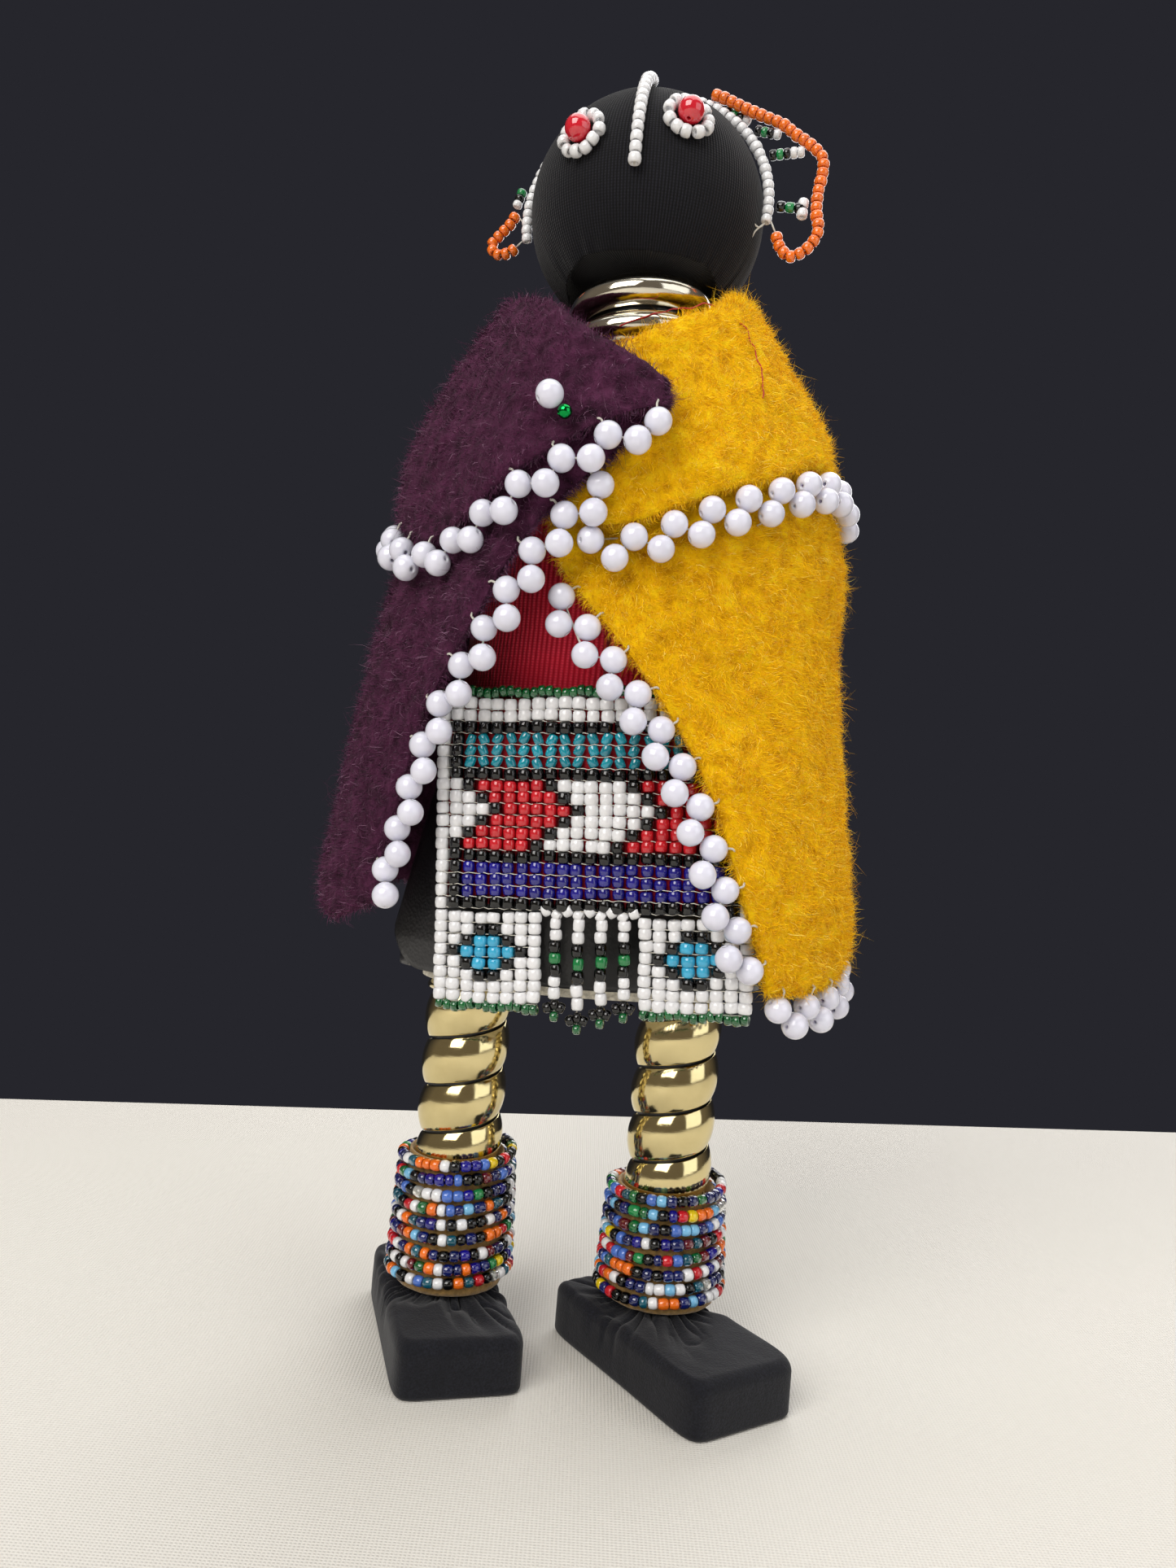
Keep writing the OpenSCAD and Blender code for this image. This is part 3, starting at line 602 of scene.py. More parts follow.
WINE = glass_look("wine_glass", srgb(104, 6, 22), 0.2, clear=0.12, rough=0.06, coat=1.0)
PEARL_WHITE = pearl_look("pearl_white", srgb(224, 224, 238), 0.4)
EYE_RED = glass_look("eye_red_glass", srgb(206, 24, 44), 0.03, rough=0.07, coat=1.0)
GREEN_FOIL = foil_look("green_foil", srgb(20, 150, 70), srgb(8, 90, 44))
LEG_GOLD = foil_look("leg_gold", srgb(224, 208, 156), srgb(198, 180, 128))
NECK_SILVER = foil_look("neck_silver", srgb(222, 216, 200), srgb(196, 186, 162))
PIN_STEEL = foil_look("pin_steel_bright", srgb(200, 202, 206), srgb(150, 152, 158))
PURPLE = fleece_look("purple_fleece_ground", srgb(34, 12, 26), srgb(72, 32, 58), srgb(98, 48, 80))
YELLOW_FLEECE = fleece_look("yellow_fleece_ground", srgb(196, 136, 0), srgb(246, 194, 2), srgb(255, 222, 24))
PURPLE_FIBRE = fibre_look("purple_fibre", srgb(56, 22, 46), srgb(94, 46, 78), srgb(160, 122, 148))
YELLOW_FIBRE = fibre_look("yellow_fibre", srgb(226, 168, 0), srgb(255, 208, 8), srgb(255, 238, 120))
# The second colour of the knits and of the foot cloth is painted highlight on their raised weave
HEAD_KNIT = knit_look("black_head_knit", srgb(8, 8, 11), srgb(30, 30, 37), 0.72, 0.6, 0.2, 0.1)
FOOT_CLOTH = cotton_look("black_foot_cloth", srgb(15, 16, 21), srgb(33, 34, 42))
RED_KNIT = knit_look("red_chest_knit", srgb(240, 24, 54), srgb(255, 70, 96), 0.95, 0.6, 0.3, 0.2)
STUFFING = felt_look("stuffing_cloth", srgb(214, 208, 192))
RED_CLOTH = felt_look("red_backing_cloth", srgb(150, 18, 30))
FELT = felt_look("tan_felt", srgb(166, 132, 78))
WHITE_THREAD = thread_look("white_thread", srgb(224, 220, 208))
RED_THREAD = thread_look("red_thread", srgb(196, 26, 30))
BLACK_CORD = thread_look("black_cord_ply", srgb(20, 20, 22))
VINYL = vinyl_look("black_skirt_vinyl", srgb(18, 18, 21))
VINYL_EDGE = felt_look("vinyl_cut_edge", srgb(120, 118, 116))
PAINTED_ROD = vinyl_look("black_rod_paint", srgb(14, 14, 15))
WOOD = wood_look("soft_wood", srgb(198, 160, 110))


# The CAD nodes that stay, with better materials
for node, material in (
    ("left_foot_block", WOOD),
    ("right_foot_block", WOOD),
    ("left_leg_rod", PAINTED_ROD),
    ("right_leg_rod", PAINTED_ROD),
    ("neck_post", PAINTED_ROD),
    ("neck_dowel", WOOD),
    ("pin_shaft", PIN_STEEL),
):
    NODES[node].data.materials.clear()
    NODES[node].data.materials.append(material)


# ---------- Feet ----------

SIDES = {
    "left": dict(foot=(-27.9, -3.6), turn=15.5, leg=-27.5, wrap=(13.4, 43.5, 12.6, 11.3), low=31, seed=11),
    "right": dict(foot=(24.4, -10.8), turn=33.0, leg=22.5, wrap=(13.4, 39.0, 13.1, 11.5), low=28, seed=12),
}
FOOT_L, FOOT_W, FOOT_H = 57.0, 28.5, 13.0
BLOCK_TOP = 9.8


def foot(side):
    """Cloth pulled over a wooden block and gathered round the ankle."""
    s = SIDES[side]
    sole, wall, top, cols = 8, 46, 70, 300
    square, low_r, high_r, shoulder_z = 10.0, 1.2, 2.9, FOOT_H - 0.7
    a = round_angles(cols)
    k = (np.abs(np.cos(a)) ** square + np.abs(np.sin(a)) ** square) ** (-1 / square)
    outline = np.stack([k * np.cos(a) * FOOT_W / 2, k * np.sin(a) * FOOT_L / 2], 1)
    inward = -unit(outline)
    ankle = turn("Z", -s["turn"])[:2, :2] @ (np.array([s["leg"], 0.0]) - np.array(s["foot"]))
    ankle_ring = ankle + on_circle(a, 8.6)[:, :2]
    rings = [(outline * grow, 0.0) for grow in np.linspace(0.02, 0.93, sole)]
    # The wall's lower rounding ends at one share of it and the upper one starts at another
    low_end, high_start, rest = 0.2, 0.6, 0.4
    for u in np.linspace(0, 1, wall):
        if u < low_end:
            bend = math.radians(90 * u / low_end)
            rings.append((outline + inward * low_r * (1 - math.sin(bend)), low_r * (1 - math.cos(bend))))
        elif u < high_start:
            rings.append((outline, mix(low_r, shoulder_z - high_r, (u - low_end) / rest)))
        else:
            bend = math.radians(90 * (u - high_start) / rest)
            z = shoulder_z - high_r * (1 - math.sin(bend))
            rings.append((outline + inward * high_r * (1 - math.cos(bend)), z))
    shoulder = outline + inward * high_r
    for u in np.linspace(0, 1, top + 1)[1:]:
        rings.append((mix(shoulder, ankle_ring, u**0.9), shoulder_z + 1.5 * u**1.6))
    co = np.array([np.column_stack([xy, np.full(cols, z)]) for xy, z in rings]).reshape(-1, 3)
    # Sharp creases run out from the ankle and die away on the toes
    to_ankle = co[:, :2] - ankle
    far = np.linalg.norm(to_ankle, axis=1)
    round_ankle = on_circle(np.arctan2(to_ankle[:, 1], to_ankle[:, 0]))
    sway = round_ankle * 7 + far[:, None] * [0, 0, 0.09]
    crisp = 1 - np.sqrt(np.abs(noise(sway, 0.95, s["seed"])))
    fine = 1 - np.sqrt(np.abs(noise(sway, 0.45, s["seed"] + 5)))
    reach = smooth(1.35 - (far - 9) / (13 + 9 * noise(round_ankle * 3, 1.0, s["seed"] + 9)))
    high = smooth((co[:, 2] - 3) / 8)
    out = np.column_stack([to_ankle / far[:, None], np.full(len(far), 1.6)])
    depth = reach * high * (2.1 * crisp + 0.7 * fine * smooth(1.2 - (far - 9) / 9))
    co -= (depth * 1.1)[:, None] * unit(out)
    co[:, 2] += 0.16 * noise(co, 8, 3) * high
    over_block = np.max(np.abs(co[:, :2]) / [FOOT_W / 2 - 2, FOOT_L / 2 - 2], axis=1) < 1
    co[:, 2] = np.clip(co[:, 2], np.where(over_block & (high > 0.9), BLOCK_TOP + 0.1, 0), FOOT_H + 0.3)
    co = co @ turn("Z", s["turn"]).T + np.array([*s["foot"], 0])
    obj = piece(f"{side}_foot_cloth", co, closed_skin(len(rings), cols), FOOT_CLOTH, "root",
                [f"{side}_foot_cover"], "black_cloth")


# ---------- Coils, ankle wraps and their beads ----------


def coil(name, x, y, r_in, r_out, strip, pitch, low, high, material, body, slot, end=None):
    """Domed metal strip wound round a post, a little uneven; it can run out under the body at a width of end."""
    per_turn, arch_points, dome = 96, 25, 0.75
    turns = (high - low - (end or strip)) / pitch
    n = int(per_turn * turns) + 1
    t = np.linspace(0, 1, n)
    a = 2 * math.pi * turns * t
    across = np.sin(np.radians(np.linspace(90, -90, arch_points)))
    bow = dome * (1 - across**2) + (1 - dome) * np.sqrt(np.maximum(1 - across**2, 0))
    r = np.concatenate([[r_in, r_in], r_in + 0.25 + (r_out - r_in - 0.25) * bow])
    z = np.concatenate([[-strip / 2 + 0.3, strip / 2 - 0.3], strip / 2 * across])
    middle = low + strip / 2 + pitch * turns * t
    dent = 0.06 * noise(on_circle(a, 2, a), 1.0, 7)
    radius = r[None] + np.where(r > r_in + 0.3, dent[:, None], 0)
    bottom = (middle - strip / 2)[:, None]
    height = bottom + (z[None] + strip / 2) * np.minimum((high - bottom) / strip, 1)
    co = on_circle(a[:, None], radius, height).reshape(-1, 3) + [x, y, 0]
    piece(name, co, closed_skin(n, len(r)), material, body, [body], slot)


LEG_R, LEG_COIL_R = 8.2, 10.2
ROW_STEP = 3.7
SEED_R = 1.4
COLOURS = (
    [BLACK] * 9 + [WHITE] * 5 + [ORANGE] * 4 + [RED] * 3 + [NIGHT] * 7 + [BLUE] * 3 + [SEA] * 4
    + [SKY] * 2 + [MID_BLUE] * 3 + [GREEN] * 2 + [MID_GREEN] + [CLEAR] * 2 + [YELLOW] + [WINE] * 2
)


def ankle(side, rows):
    """Felt rolled round the foot of the coil, and a string of mixed beads wound over it."""
    s = SIDES[side]
    z0, z1, r0, r1 = s["wrap"]
    a = round_angles(120)
    levels = np.linspace(z0, z1, 30)
    out = mix(r0, r1, (levels - z0) / (z1 - z0)) - 0.1
    bore = LEG_COIL_R + 0.45
    rough = 0.12 * noise(on_circle(a, 6), 0.8, s["seed"])[:, None] * [0, *np.ones(len(levels)), 0]
    co = on_circle(a[:, None], np.array([bore, *out, bore]) + rough, np.array([z0, *levels, z1]))
    piece(f"{side}_ankle_felt", co.reshape(-1, 3) + [s["leg"], 0, 0], [grid_faces(*co.shape[:2], True, True)],
          FELT, "root", [f"{side}_ankle_wrap"], "felt")

    rng = np.random.default_rng(s["seed"])
    t = np.linspace(0, rows, rows * 90)
    a = 2 * math.pi * t
    wobble = 0.55 * noise(on_circle(a, 1.4, t), 1.0, s["seed"])
    z = z0 + SEED_R * 0.95 + ROW_STEP * (rows - 1) / rows * t + wobble * smooth(t) * smooth(rows - t)
    r = mix(r0, r1, np.clip((z - z0) / (z1 - z0), 0, 1)) + SEED_R + 0.12
    line = on_circle(a + rng.random() * 6, r, z) + [s["leg"], 0, 0]
    sizes, here, total = [], 1.0, lengths_along(line)[-1]
    while here < total - 2:
        length = 2.25 * rng.choice([0.85, 1.0, 1.0, 1.05, 1.3], p=[0.2, 0.35, 0.25, 0.15, 0.05])
        sizes.append((here + length / 2, length))
        here += length + 0.05
    at, way = along(line, np.array([p for p, _ in sizes]))
    spots = [
        (p, w, SEED_R * rng.uniform(0.9, 1.0), length, COLOURS[rng.integers(len(COLOURS))])
        for p, w, (_, length) in zip(at, way, sizes)
    ]
    slot = "mixed_seed_beads"
    beads(f"{side}_ankle_seeds", spots, ROUND_SEED, "root", 0.05, s["seed"], [f"{side}_ankle_beads"], slot)
    threads(f"{side}_ankle_thread", [line[::3]], 0.16, "root", slot)


for side, s in SIDES.items():
    foot(side)
    coil(f"{side}_leg_spring", s["leg"], 0, LEG_R + 0.5, LEG_COIL_R, 10.3, 11, s["low"], 83.5, LEG_GOLD,
         f"{side}_leg_coil", "leg_metal_foil", end=1.5)
ankle("left", 9)
ankle("right", 8)
POST_R, NECK_COIL_R = 12.6, 16.2
coil("neck_spring", 0, NECK_Y, POST_R + 0.5, NECK_COIL_R, 7.3, 8, 224.5, 248.8, NECK_SILVER,
     "neck_coil", "neck_metal_foil")


# ---------- Body, chest, skirt and waist cord ----------

BODY_FORM = [
    [84, -2.5, 37, 19, 20], [94, -2.5, 38, 20.5, 21.5], [130, -2, 33, 20, 20],
    [165, -1, 32, 20, 19], [195, 0, 33, 19, 18], [208, 0, 29, 17, 16], [215, 0, 20, 14.5, 14],
]


def body_at(z):
    """The CAD body is straight between its levels, and so is this."""
    t = np.array(BODY_FORM, float)
    return [np.interp(z, t[:, 0], t[:, k]) for k in range(5)]


def oval(z, out, a, flare=0.0):
    """Points round the body at a height, pushed out from it; flare widens it to the sides only."""
    _, middle, half, front, back = body_at(z)
    depth = np.where(np.cos(a) > 0, front + out, back + out)
    return np.stack(np.broadcast_arrays(middle + (half + out + flare) * np.sin(a), -depth * np.cos(a), z), -1)


def torso():
    a = round_angles(120)
    low, high = oval(84.0, 0, a), oval(214.8, 0, a)
    rings = [low * [0.02, 0.02, 0] + [-2.4, 0, 84.8], low * [0.6, 0.6, 0] + [-1, 0, 84.4]]
    levels = [84.4, 85.5, 88, 92, 100, 110, 120, 130, 140, 150, 165, 180, 195, 202, 208, 212, 214.6]
    rings += [oval(z, -0.6 if z < 86 else -0.25, a) for z in levels]
    rings += [high * [0.3, 0.3, 1], high * [0.22, 0.28, 0] + [0, 0, 214.8]]
    grid = np.array(rings)
    grid += 0.15 * noise(grid.reshape(-1, 3), 8, 21).reshape(grid.shape[:2])[..., None] * [1, 1, 0]
    obj = piece("torso_padding", grid.reshape(-1, 3), closed_skin(*grid.shape[:2]), STUFFING, "root",
                ["torso_stuffing"], "stuffing")


def chest():
    """Red knit wrapped round the chest, slightly slack in front."""
    cols, rows = 240, 70
    a = round_angles(cols)
    levels = np.linspace(149.1, 214.6, rows)
    over = np.array([oval(z, 1.05, a) for z in levels])
    under = np.array([oval(z, 0.25, a) for z in levels])
    fold = 0.3 * noise(over.reshape(-1, 3) * [1, 1, 0.4], 6, 33).reshape(rows, cols)
    over += unit(over * [1, 1, 0]) * np.minimum(fold, 0.1)[..., None]
    n = rows * cols
    wall = grid_faces(rows, cols, wrap_cols=True)
    c = np.arange(cols)
    c2 = np.roll(c, -1)
    top = (rows - 1) * cols
    low_rim = np.stack([c, c + n, c2 + n, c2], 1)
    high_rim = np.stack([top + c, top + c2, top + c2 + n, top + c + n], 1)
    cloth = np.stack([np.tile(a * 26, rows), np.repeat(levels, cols), np.zeros(n)], 1)
    obj = piece("red_chest_cloth", np.concatenate([over.reshape(-1, 3), under.reshape(-1, 3)]),
                [np.concatenate([wall, wall[:, ::-1] + n, low_rim, high_rim])], RED_KNIT, "root",
                ["red_top"], "red_knit", cloth=np.concatenate([cloth, cloth]) * MM)


SKIRT_START, SKIRT_END, SKIRT_GAP = -78, 292, 1.3


def skirt():
    """Vinyl wrapped once round the waist, with its rounded corner and pale cut edge in front."""
    rows, cols = 50, 300
    deg = np.linspace(SKIRT_START, SKIRT_END, cols)[None]
    v = np.linspace(0, 1, rows)[:, None]
    wrap = 1.6 * (SKIRT_END - deg) / (SKIRT_END - SKIRT_START)
    corner = 9 * (1 - np.minimum((deg - SKIRT_START) / 22, 1)) ** 2
    a = np.radians(deg)
    wave = 0.5 * np.sin(a * 9 + 1) * (1 - v) + 0.4 * np.sin(a * 23) * smooth((v - 0.8) * 5)
    faces = (
        oval(mix(87 + corner, 148.5, v), SKIRT_GAP + wrap + half + wave * 0.6, a, 3 * (1 - v)) for half in (0.4, -0.4)
    )
    co, quads = shell_between(*faces)
    edge = np.arange(len(quads)) >= 2 * (rows - 1) * (cols - 1)
    obj = piece("skirt_vinyl", co, [quads], [VINYL, VINYL_EDGE], "root", ["vinyl_skirt"], "black_vinyl", edge)


def waist():
    """Two-ply cord tied round the waist."""
    a = 2 * math.pi * np.linspace(0, 1, 900, endpoint=False)
    middle = oval(149.6, 2.2, a) + [0, 0, 1.0]
    out = unit(middle * [1, 1, 0])
    plies = []
    for phase in (0, math.pi):
        ply = (110 * a + phase)[:, None]
        plies.append(tube(middle + 0.36 * (np.cos(ply) * out + np.sin(ply) * [0, 0, 1]), 0.42, 6, closed=True))
    piece("waist_twine", *join(plies), BLACK_CORD, "root", ["waist_cord"], "black_cord")


torso()
chest()
skirt()
waist()


# ---------- Apron ----------

APRON_W, PANEL_H, FLAP_W, FLAP_H = 69.4, 48.2, 24.2, 20.1
APRON_TURN = turn("Z", -12) @ turn("Y", -3.6)
APRON_AT = np.array([-3.9, -28.5, 153.0])
HINGE_Z = -PANEL_H - 0.45 - 1.45
PANEL_ROWS, PANEL_COLS = 18, 23
EDGE_D = 2.6
COL_STEP = APRON_W / PANEL_COLS
ROW_H = (PANEL_H - EDGE_D) / PANEL_ROWS


def panel_bend(x, z):
    return 0.012 * np.maximum(x, 0) ** 2 * (1 - smooth(-z / PANEL_H))


def on_apron(x, y, z):
    """Point of the apron's own plane in the doll's frame."""
    p = np.stack(np.broadcast_arrays(x, y + panel_bend(x, z), z), -1)
    return p @ APRON_TURN.T + APRON_AT


ALONG, DOWN = APRON_TURN @ [1.0, 0, 0], APRON_TURN @ [0, 0, -1.0]
NET_R, NET_SIDES = 0.09, 5
# Columns that the arrows are moved by, row after row
ARROW_STEPS = [1, 2, 3, 2, 1, 0]
ARROW_FIRST, ARROW_PITCH = 1, 6


def panel_bead(row, col):
    """Which bead the panel has at a row and a column."""
    last = PANEL_COLS - 1
    if row < 2 or col in (0, last):
        return WHITE
    if row in (2, 6, 13, 17) or (col in (1, last - 1) and not 7 <= row <= 12):
        return BLACK
    if row in (3, 4, 5):
        return TEAL
    if row in (14, 15, 16):
        return BLUE
    place_in = col - ARROW_FIRST - ARROW_STEPS[row - 7]
    if place_in % ARROW_PITCH == 0 and place_in >= 0:
        return BLACK
    return RED if place_in > 0 and (place_in // ARROW_PITCH) % 2 == 0 else WHITE


def edge_beads(x0, x1, z, seed):
    """Row of green beads lying side by side along an edge."""
    rng = np.random.default_rng(seed)
    n = int((x1 - x0) / 1.72)
    xs = np.linspace(x0 + 0.9, x1 - 0.9, n)
    sag = 0.35 * np.sin(np.arange(n) * 1.3 + seed)
    return [
        (on_apron(x, 0, z + dz), ALONG + 0.14 * rng.normal(size=3), EDGE_D / 2, 1.62, GREEN) for x, dz in zip(xs, sag)
    ]


def panel():
    rng = np.random.default_rng(5)
    spots, lines = [], []
    left, right = -APRON_W / 2, APRON_W / 2
    for row in range(PANEL_ROWS):
        z = -EDGE_D - ROW_H * (row + 0.5)
        ripple = 0.22 * np.sin(np.arange(PANEL_COLS) * 0.9 + row)
        for col in range(PANEL_COLS):
            x = (col + 0.5) * COL_STEP - APRON_W / 2
            look, way, radius, height = panel_bead(row, col), DOWN, 1.52, 1.02
            at = on_apron(x + rng.normal(0, 0.1), rng.normal(0, 0.12), z + ripple[col] + rng.normal(0, 0.08))
            if look is TEAL:
                way, radius = DOWN + (0.42 if col % 2 else -0.42) * ALONG, 1.12
            elif look in (BLUE, RED):
                radius, height = 1.42, 0.96
            spots.append((at, way, radius, ROW_H * height, look))
        xs = np.linspace(left + 1, right - 1, 60)
        turns = xs / COL_STEP * 2 * math.pi
        front = -1.15 if row in (3, 4, 5, 14, 15, 16) else -0.5
        lines.append(on_apron(xs, front + 0.25 * np.cos(turns), z - ROW_H / 2 + 0.45 * np.sin(turns) * 0.4))
    spots += edge_beads(left, right, -EDGE_D / 2, 3)
    beads("apron_panel_seeds", spots, SEED, "root", 0.045, 8, ["apron_panel"], "apron_beads")
    for col in range(PANEL_COLS):
        lines.append(on_apron((col + 0.5) * COL_STEP - APRON_W / 2, 0, np.linspace(-0.5, -PANEL_H + 0.3, 24)))
    threads("apron_panel_threads", lines, NET_R, "root", "apron_beads", NET_SIDES)
    xs, zs = np.meshgrid(np.linspace(left + 0.8, right - 0.8, 50), np.linspace(-PANEL_H + 0.8, -EDGE_D, 36))
    co, quads = shell_between(on_apron(xs, 0.95, zs), on_apron(xs, 1.35, zs))
    back = piece("apron_backing", co, [quads], RED_CLOTH, "root", slot="apron_beads")


def diamond_bead(row, col):
    reach = {1: 0, 2: 1, 3: 2, 4: 1, 5: 0}.get(row)
    if reach is None:
        return WHITE
    if reach == 0:
        return BLACK if col in (3, 4) else WHITE
    low, high = 3 - reach, 4 + reach
    if col in (low, high):
        return BLACK
    return TURQUOISE if low < col < high else WHITE


def flap(side, x0, seed):
    rng = np.random.default_rng(seed)
    rows, cols = 8, 8
    row_h = (FLAP_H - 1.7 + 1.2) / rows
    step = FLAP_W / cols
    body, low = f"{side}_flap", HINGE_Z - FLAP_H
    spots, lines = [], []
    for row in range(rows):
        z = HINGE_Z + 1.2 - row_h * (row + 0.5)
        for col in range(cols):
            x = x0 + (col + 0.5) * step + rng.normal(0, 0.12)
            at = on_apron(x, rng.normal(0, 0.1), z + 0.3 * math.sin(col * 0.8 + seed) + rng.normal(0, 0.08))
            spots.append((at, DOWN, 1.5, row_h * 0.98, diamond_bead(row, col)))
        xs = np.linspace(x0 + 1, x0 + FLAP_W - 1, 24)
        lines.append(on_apron(xs, -0.6 + 0.2 * np.cos(xs * 2), z - row_h / 2))
    spots += edge_beads(x0 + 0.6, x0 + FLAP_W - 0.6, low + 0.9, seed)
    for col in range(cols):
        lines.append(on_apron(x0 + (col + 0.5) * step, 0, np.linspace(HINGE_Z + 1.0, low + 1.2, 10)))
    beads(f"{side}_flap_seeds", spots, SEED, body, 0.05, seed, [body], "apron_beads")
    threads(f"{side}_flap_threads", lines, NET_R, body, "apron_beads", NET_SIDES)


FRINGE_X = [-7.5, -2.5, 2.5, 7.5]
FRINGE_L = [20, 22.5, 21, 19.5]


def fringe(k):
    """Strand of seed beads that hangs from the panel and ends in a small cluster."""
    x, length = FRINGE_X[k], FRINGE_L[k]
    body = f"fringe_{k + 1}"
    colours = [WHITE, WHITE, BLACK, MID_GREEN, BLACK, WHITE, WHITE]
    step = (length - 1.2) / (len(colours) + 0.6)
    spots = []
    for i, look in enumerate(colours):
        z = HINGE_Z + 0.4 - step * (i + 0.5)
        spots.append((on_apron(x + 0.16 * math.sin(i * 2 + k), 0, z), DOWN, 1.32, step * 0.95, look))
    tip = HINGE_Z - length
    for dx, dz in ((-1.45, 1.1), (0.1, 1.75), (1.45, 1.1)):
        spots.append((on_apron(x + dx, 0.1 * dx, tip + dz), ALONG + 0.3 * DOWN * dx, 1.15, 1.6, BLACK))
    spots.append((on_apron(x, 0, tip - 0.75), ALONG, 1.1, 1.6, GREEN))
    beads(f"{body}_seeds", spots, SEED, body, 0.06, 40 + k, [body], "dark_seed_beads")
    line = on_apron(x, 0, np.linspace(HINGE_Z + 1.2, tip - 0.4, 14))
    threads(f"{body}_thread", [line], 0.13, body, "dark_seed_beads")


def loops():
    """White beads in a zigzag between the flaps, from which the fringe hangs."""
    spots = []
    for i, x in enumerate(np.arange(-9.6, 9.7, 2.4)):
        drop, lean = (0.9, 0.8) if i % 2 else (0.0, -0.8)
        spots.append((on_apron(x, -0.1, -PANEL_H - 0.9 - drop + 0.9), ALONG + lean * DOWN * 0.7, 1.25, 2.1, WHITE))
    beads("fringe_loops", spots, SEED, "root", 0.08, 17, slot="apron_beads")


panel()
flap("left", -APRON_W / 2, 21)
flap("right", APRON_W / 2 - FLAP_W, 22)
for k in range(4):
    fringe(k)
loops()


# ---------- Head ----------

HEAD_R, HEAD_Z = 27.6, 266.6
FACE_TURN = 8
HEAD_AT = np.array([0, 0, HEAD_Z])
POCKET_R, POCKET_Z = 16.8, 249.5


def head():
    """Black knit pulled over a ball of stuffing and gathered in over the top of the neck coil."""
    cols, rows = 360, 240
    t, p = np.meshgrid(np.linspace(0.004, math.pi - 0.004, rows), round_angles(cols), indexing="ij")
    ball = on_circle(p, np.sin(t), np.cos(t))
    ring = on_circle(p, 7, t * 0.8).reshape(-1, 3)
    pleat = (np.abs(noise(ring, 0.9, 61)) + 0.7 * np.abs(noise(ring, 0.45, 62))).reshape(t.shape)
    soft = np.abs(noise(ball.reshape(-1, 3), 0.5, 63)).reshape(t.shape)
    r = HEAD_R - 0.12 - 0.125 * soft - 0.8 * smooth((t - 1.7) / 1.2) * pleat
    grid = r[..., None] * ball + HEAD_AT
    # The under side stays clear of the neck coil, in a pocket with a soft rim
    from_neck = np.hypot(grid[..., 0], grid[..., 1] - NECK_Y)
    lip = POCKET_Z + 0.3 - 17 * smooth((from_neck - POCKET_R) / 2.0)
    grid[..., 2] = np.maximum(grid[..., 2], np.where(t > 1.6, lip, 0))
    obj = piece("head_knit_cover", grid.reshape(-1, 3), closed_skin(rows, cols, flip=True), HEAD_KNIT, "head",
                ["head_cover", "head_stuffing"], "head_knit",
                cloth=np.stack([p * 26, t * 27, 0 * t], -1).reshape(-1, 3) * MM)


def head_turn(side, up):
    return turn("Z", -FACE_TURN - 2 + side) @ turn("X", 90 - up)


def eye(name, side, up, seed):
    """Large red bead in a ring of small white ones."""
    m = head_turn(side, up)
    centre = HEAD_AT + m @ [0, 0, HEAD_R + 2.7]
    beads(f"{name}_eye_glass", [(centre, m @ [0.3, 1, 0], 2.9, 2.9, EYE_RED)], pearl_shape(0.16, 40, 26),
          "head", 0.0, seed, [f"{name}_eye_bead"], "eye_red")
    n, ring_r = 11, 4.55
    rng = np.random.default_rng(seed)
    spots = []
    for i in range(n):
        a = 2 * math.pi * (i + 0.08 * rng.normal()) / n
        p = [ring_r * math.cos(a), ring_r * math.sin(a), HEAD_R + 1.1 + 0.15 * rng.normal()]
        spots.append((HEAD_AT + m @ p, m @ [-math.sin(a), math.cos(a), 0], 1.45, 2.2, WHITE))
    beads(f"{name}_eye_seeds", spots, ROUND_SEED, "head", 0.07, seed, [f"{name}_eye_ring"], "white_seed_beads")


def strand(name, path, pitch, radius, look, node, slot, seed):
    """Beads threaded along a path on the head."""
    total = lengths_along(path)[-1]
    n = int(round(total / pitch))
    at, way = along(path, total * (np.arange(n) + 0.5) / n)
    spots = [(p, w, radius, total / n * 0.94, look) for p, w in zip(at, way)]
    beads(name, spots, ROUND_SEED, "head", 0.05, seed, [node], slot)


def arc(low, high, r, n=120):
    """Points on a circle, from one angle in degrees to another."""
    return on_circle(np.radians(np.linspace(low, high, n)), r)


NOSE_TURN = turn("Z", -FACE_TURN - 90) @ turn("X", 90)
BAND_TURN = turn("Z", -15) @ turn("X", 84)
BAND_FORWARD = np.array([0, 0, 3.0])


def on_band(points):
    return (np.asarray(points, float) + BAND_FORWARD) @ BAND_TURN.T + HEAD_AT


def frill_points(polar):
    a, r = np.array(polar, float).T
    return on_circle(np.radians(a), r)


BAND_R, BAND_LOW, BAND_HIGH = 29.0, -8, 192
RIGHT_FRILL = [
    (65, 32), (58, 32.2), (51, 32.6), (45, 33.4), (39, 34.8), (33, 36.7), (27, 38), (22, 39.9), (16, 41.8),
    (11, 41.4), (4, 40.1), (-3, 40.1), (-9, 41.3), (-15, 40.2), (-19.4, 37.2), (-17, 34), (-12, 32),
]
LEFT_FRILL = [(177.5, 32), (182, 33.2), (186.5, 36), (190, 38), (194, 36.6), (194.5, 33.6), (193, 31.9)]
# Angle and radius of both ends
SPOKES = [(38, 30.9, 30, 35.0), (24, 30.9, 19.8, 38.4), (0, 30.9, -1.5, 37.2)]
BEHIND_SPOKE = (57.8, 30.9, 45.7, 32.2)
LEFT_SPOKE = (166.5, 31.9, 174.5, 32.3)


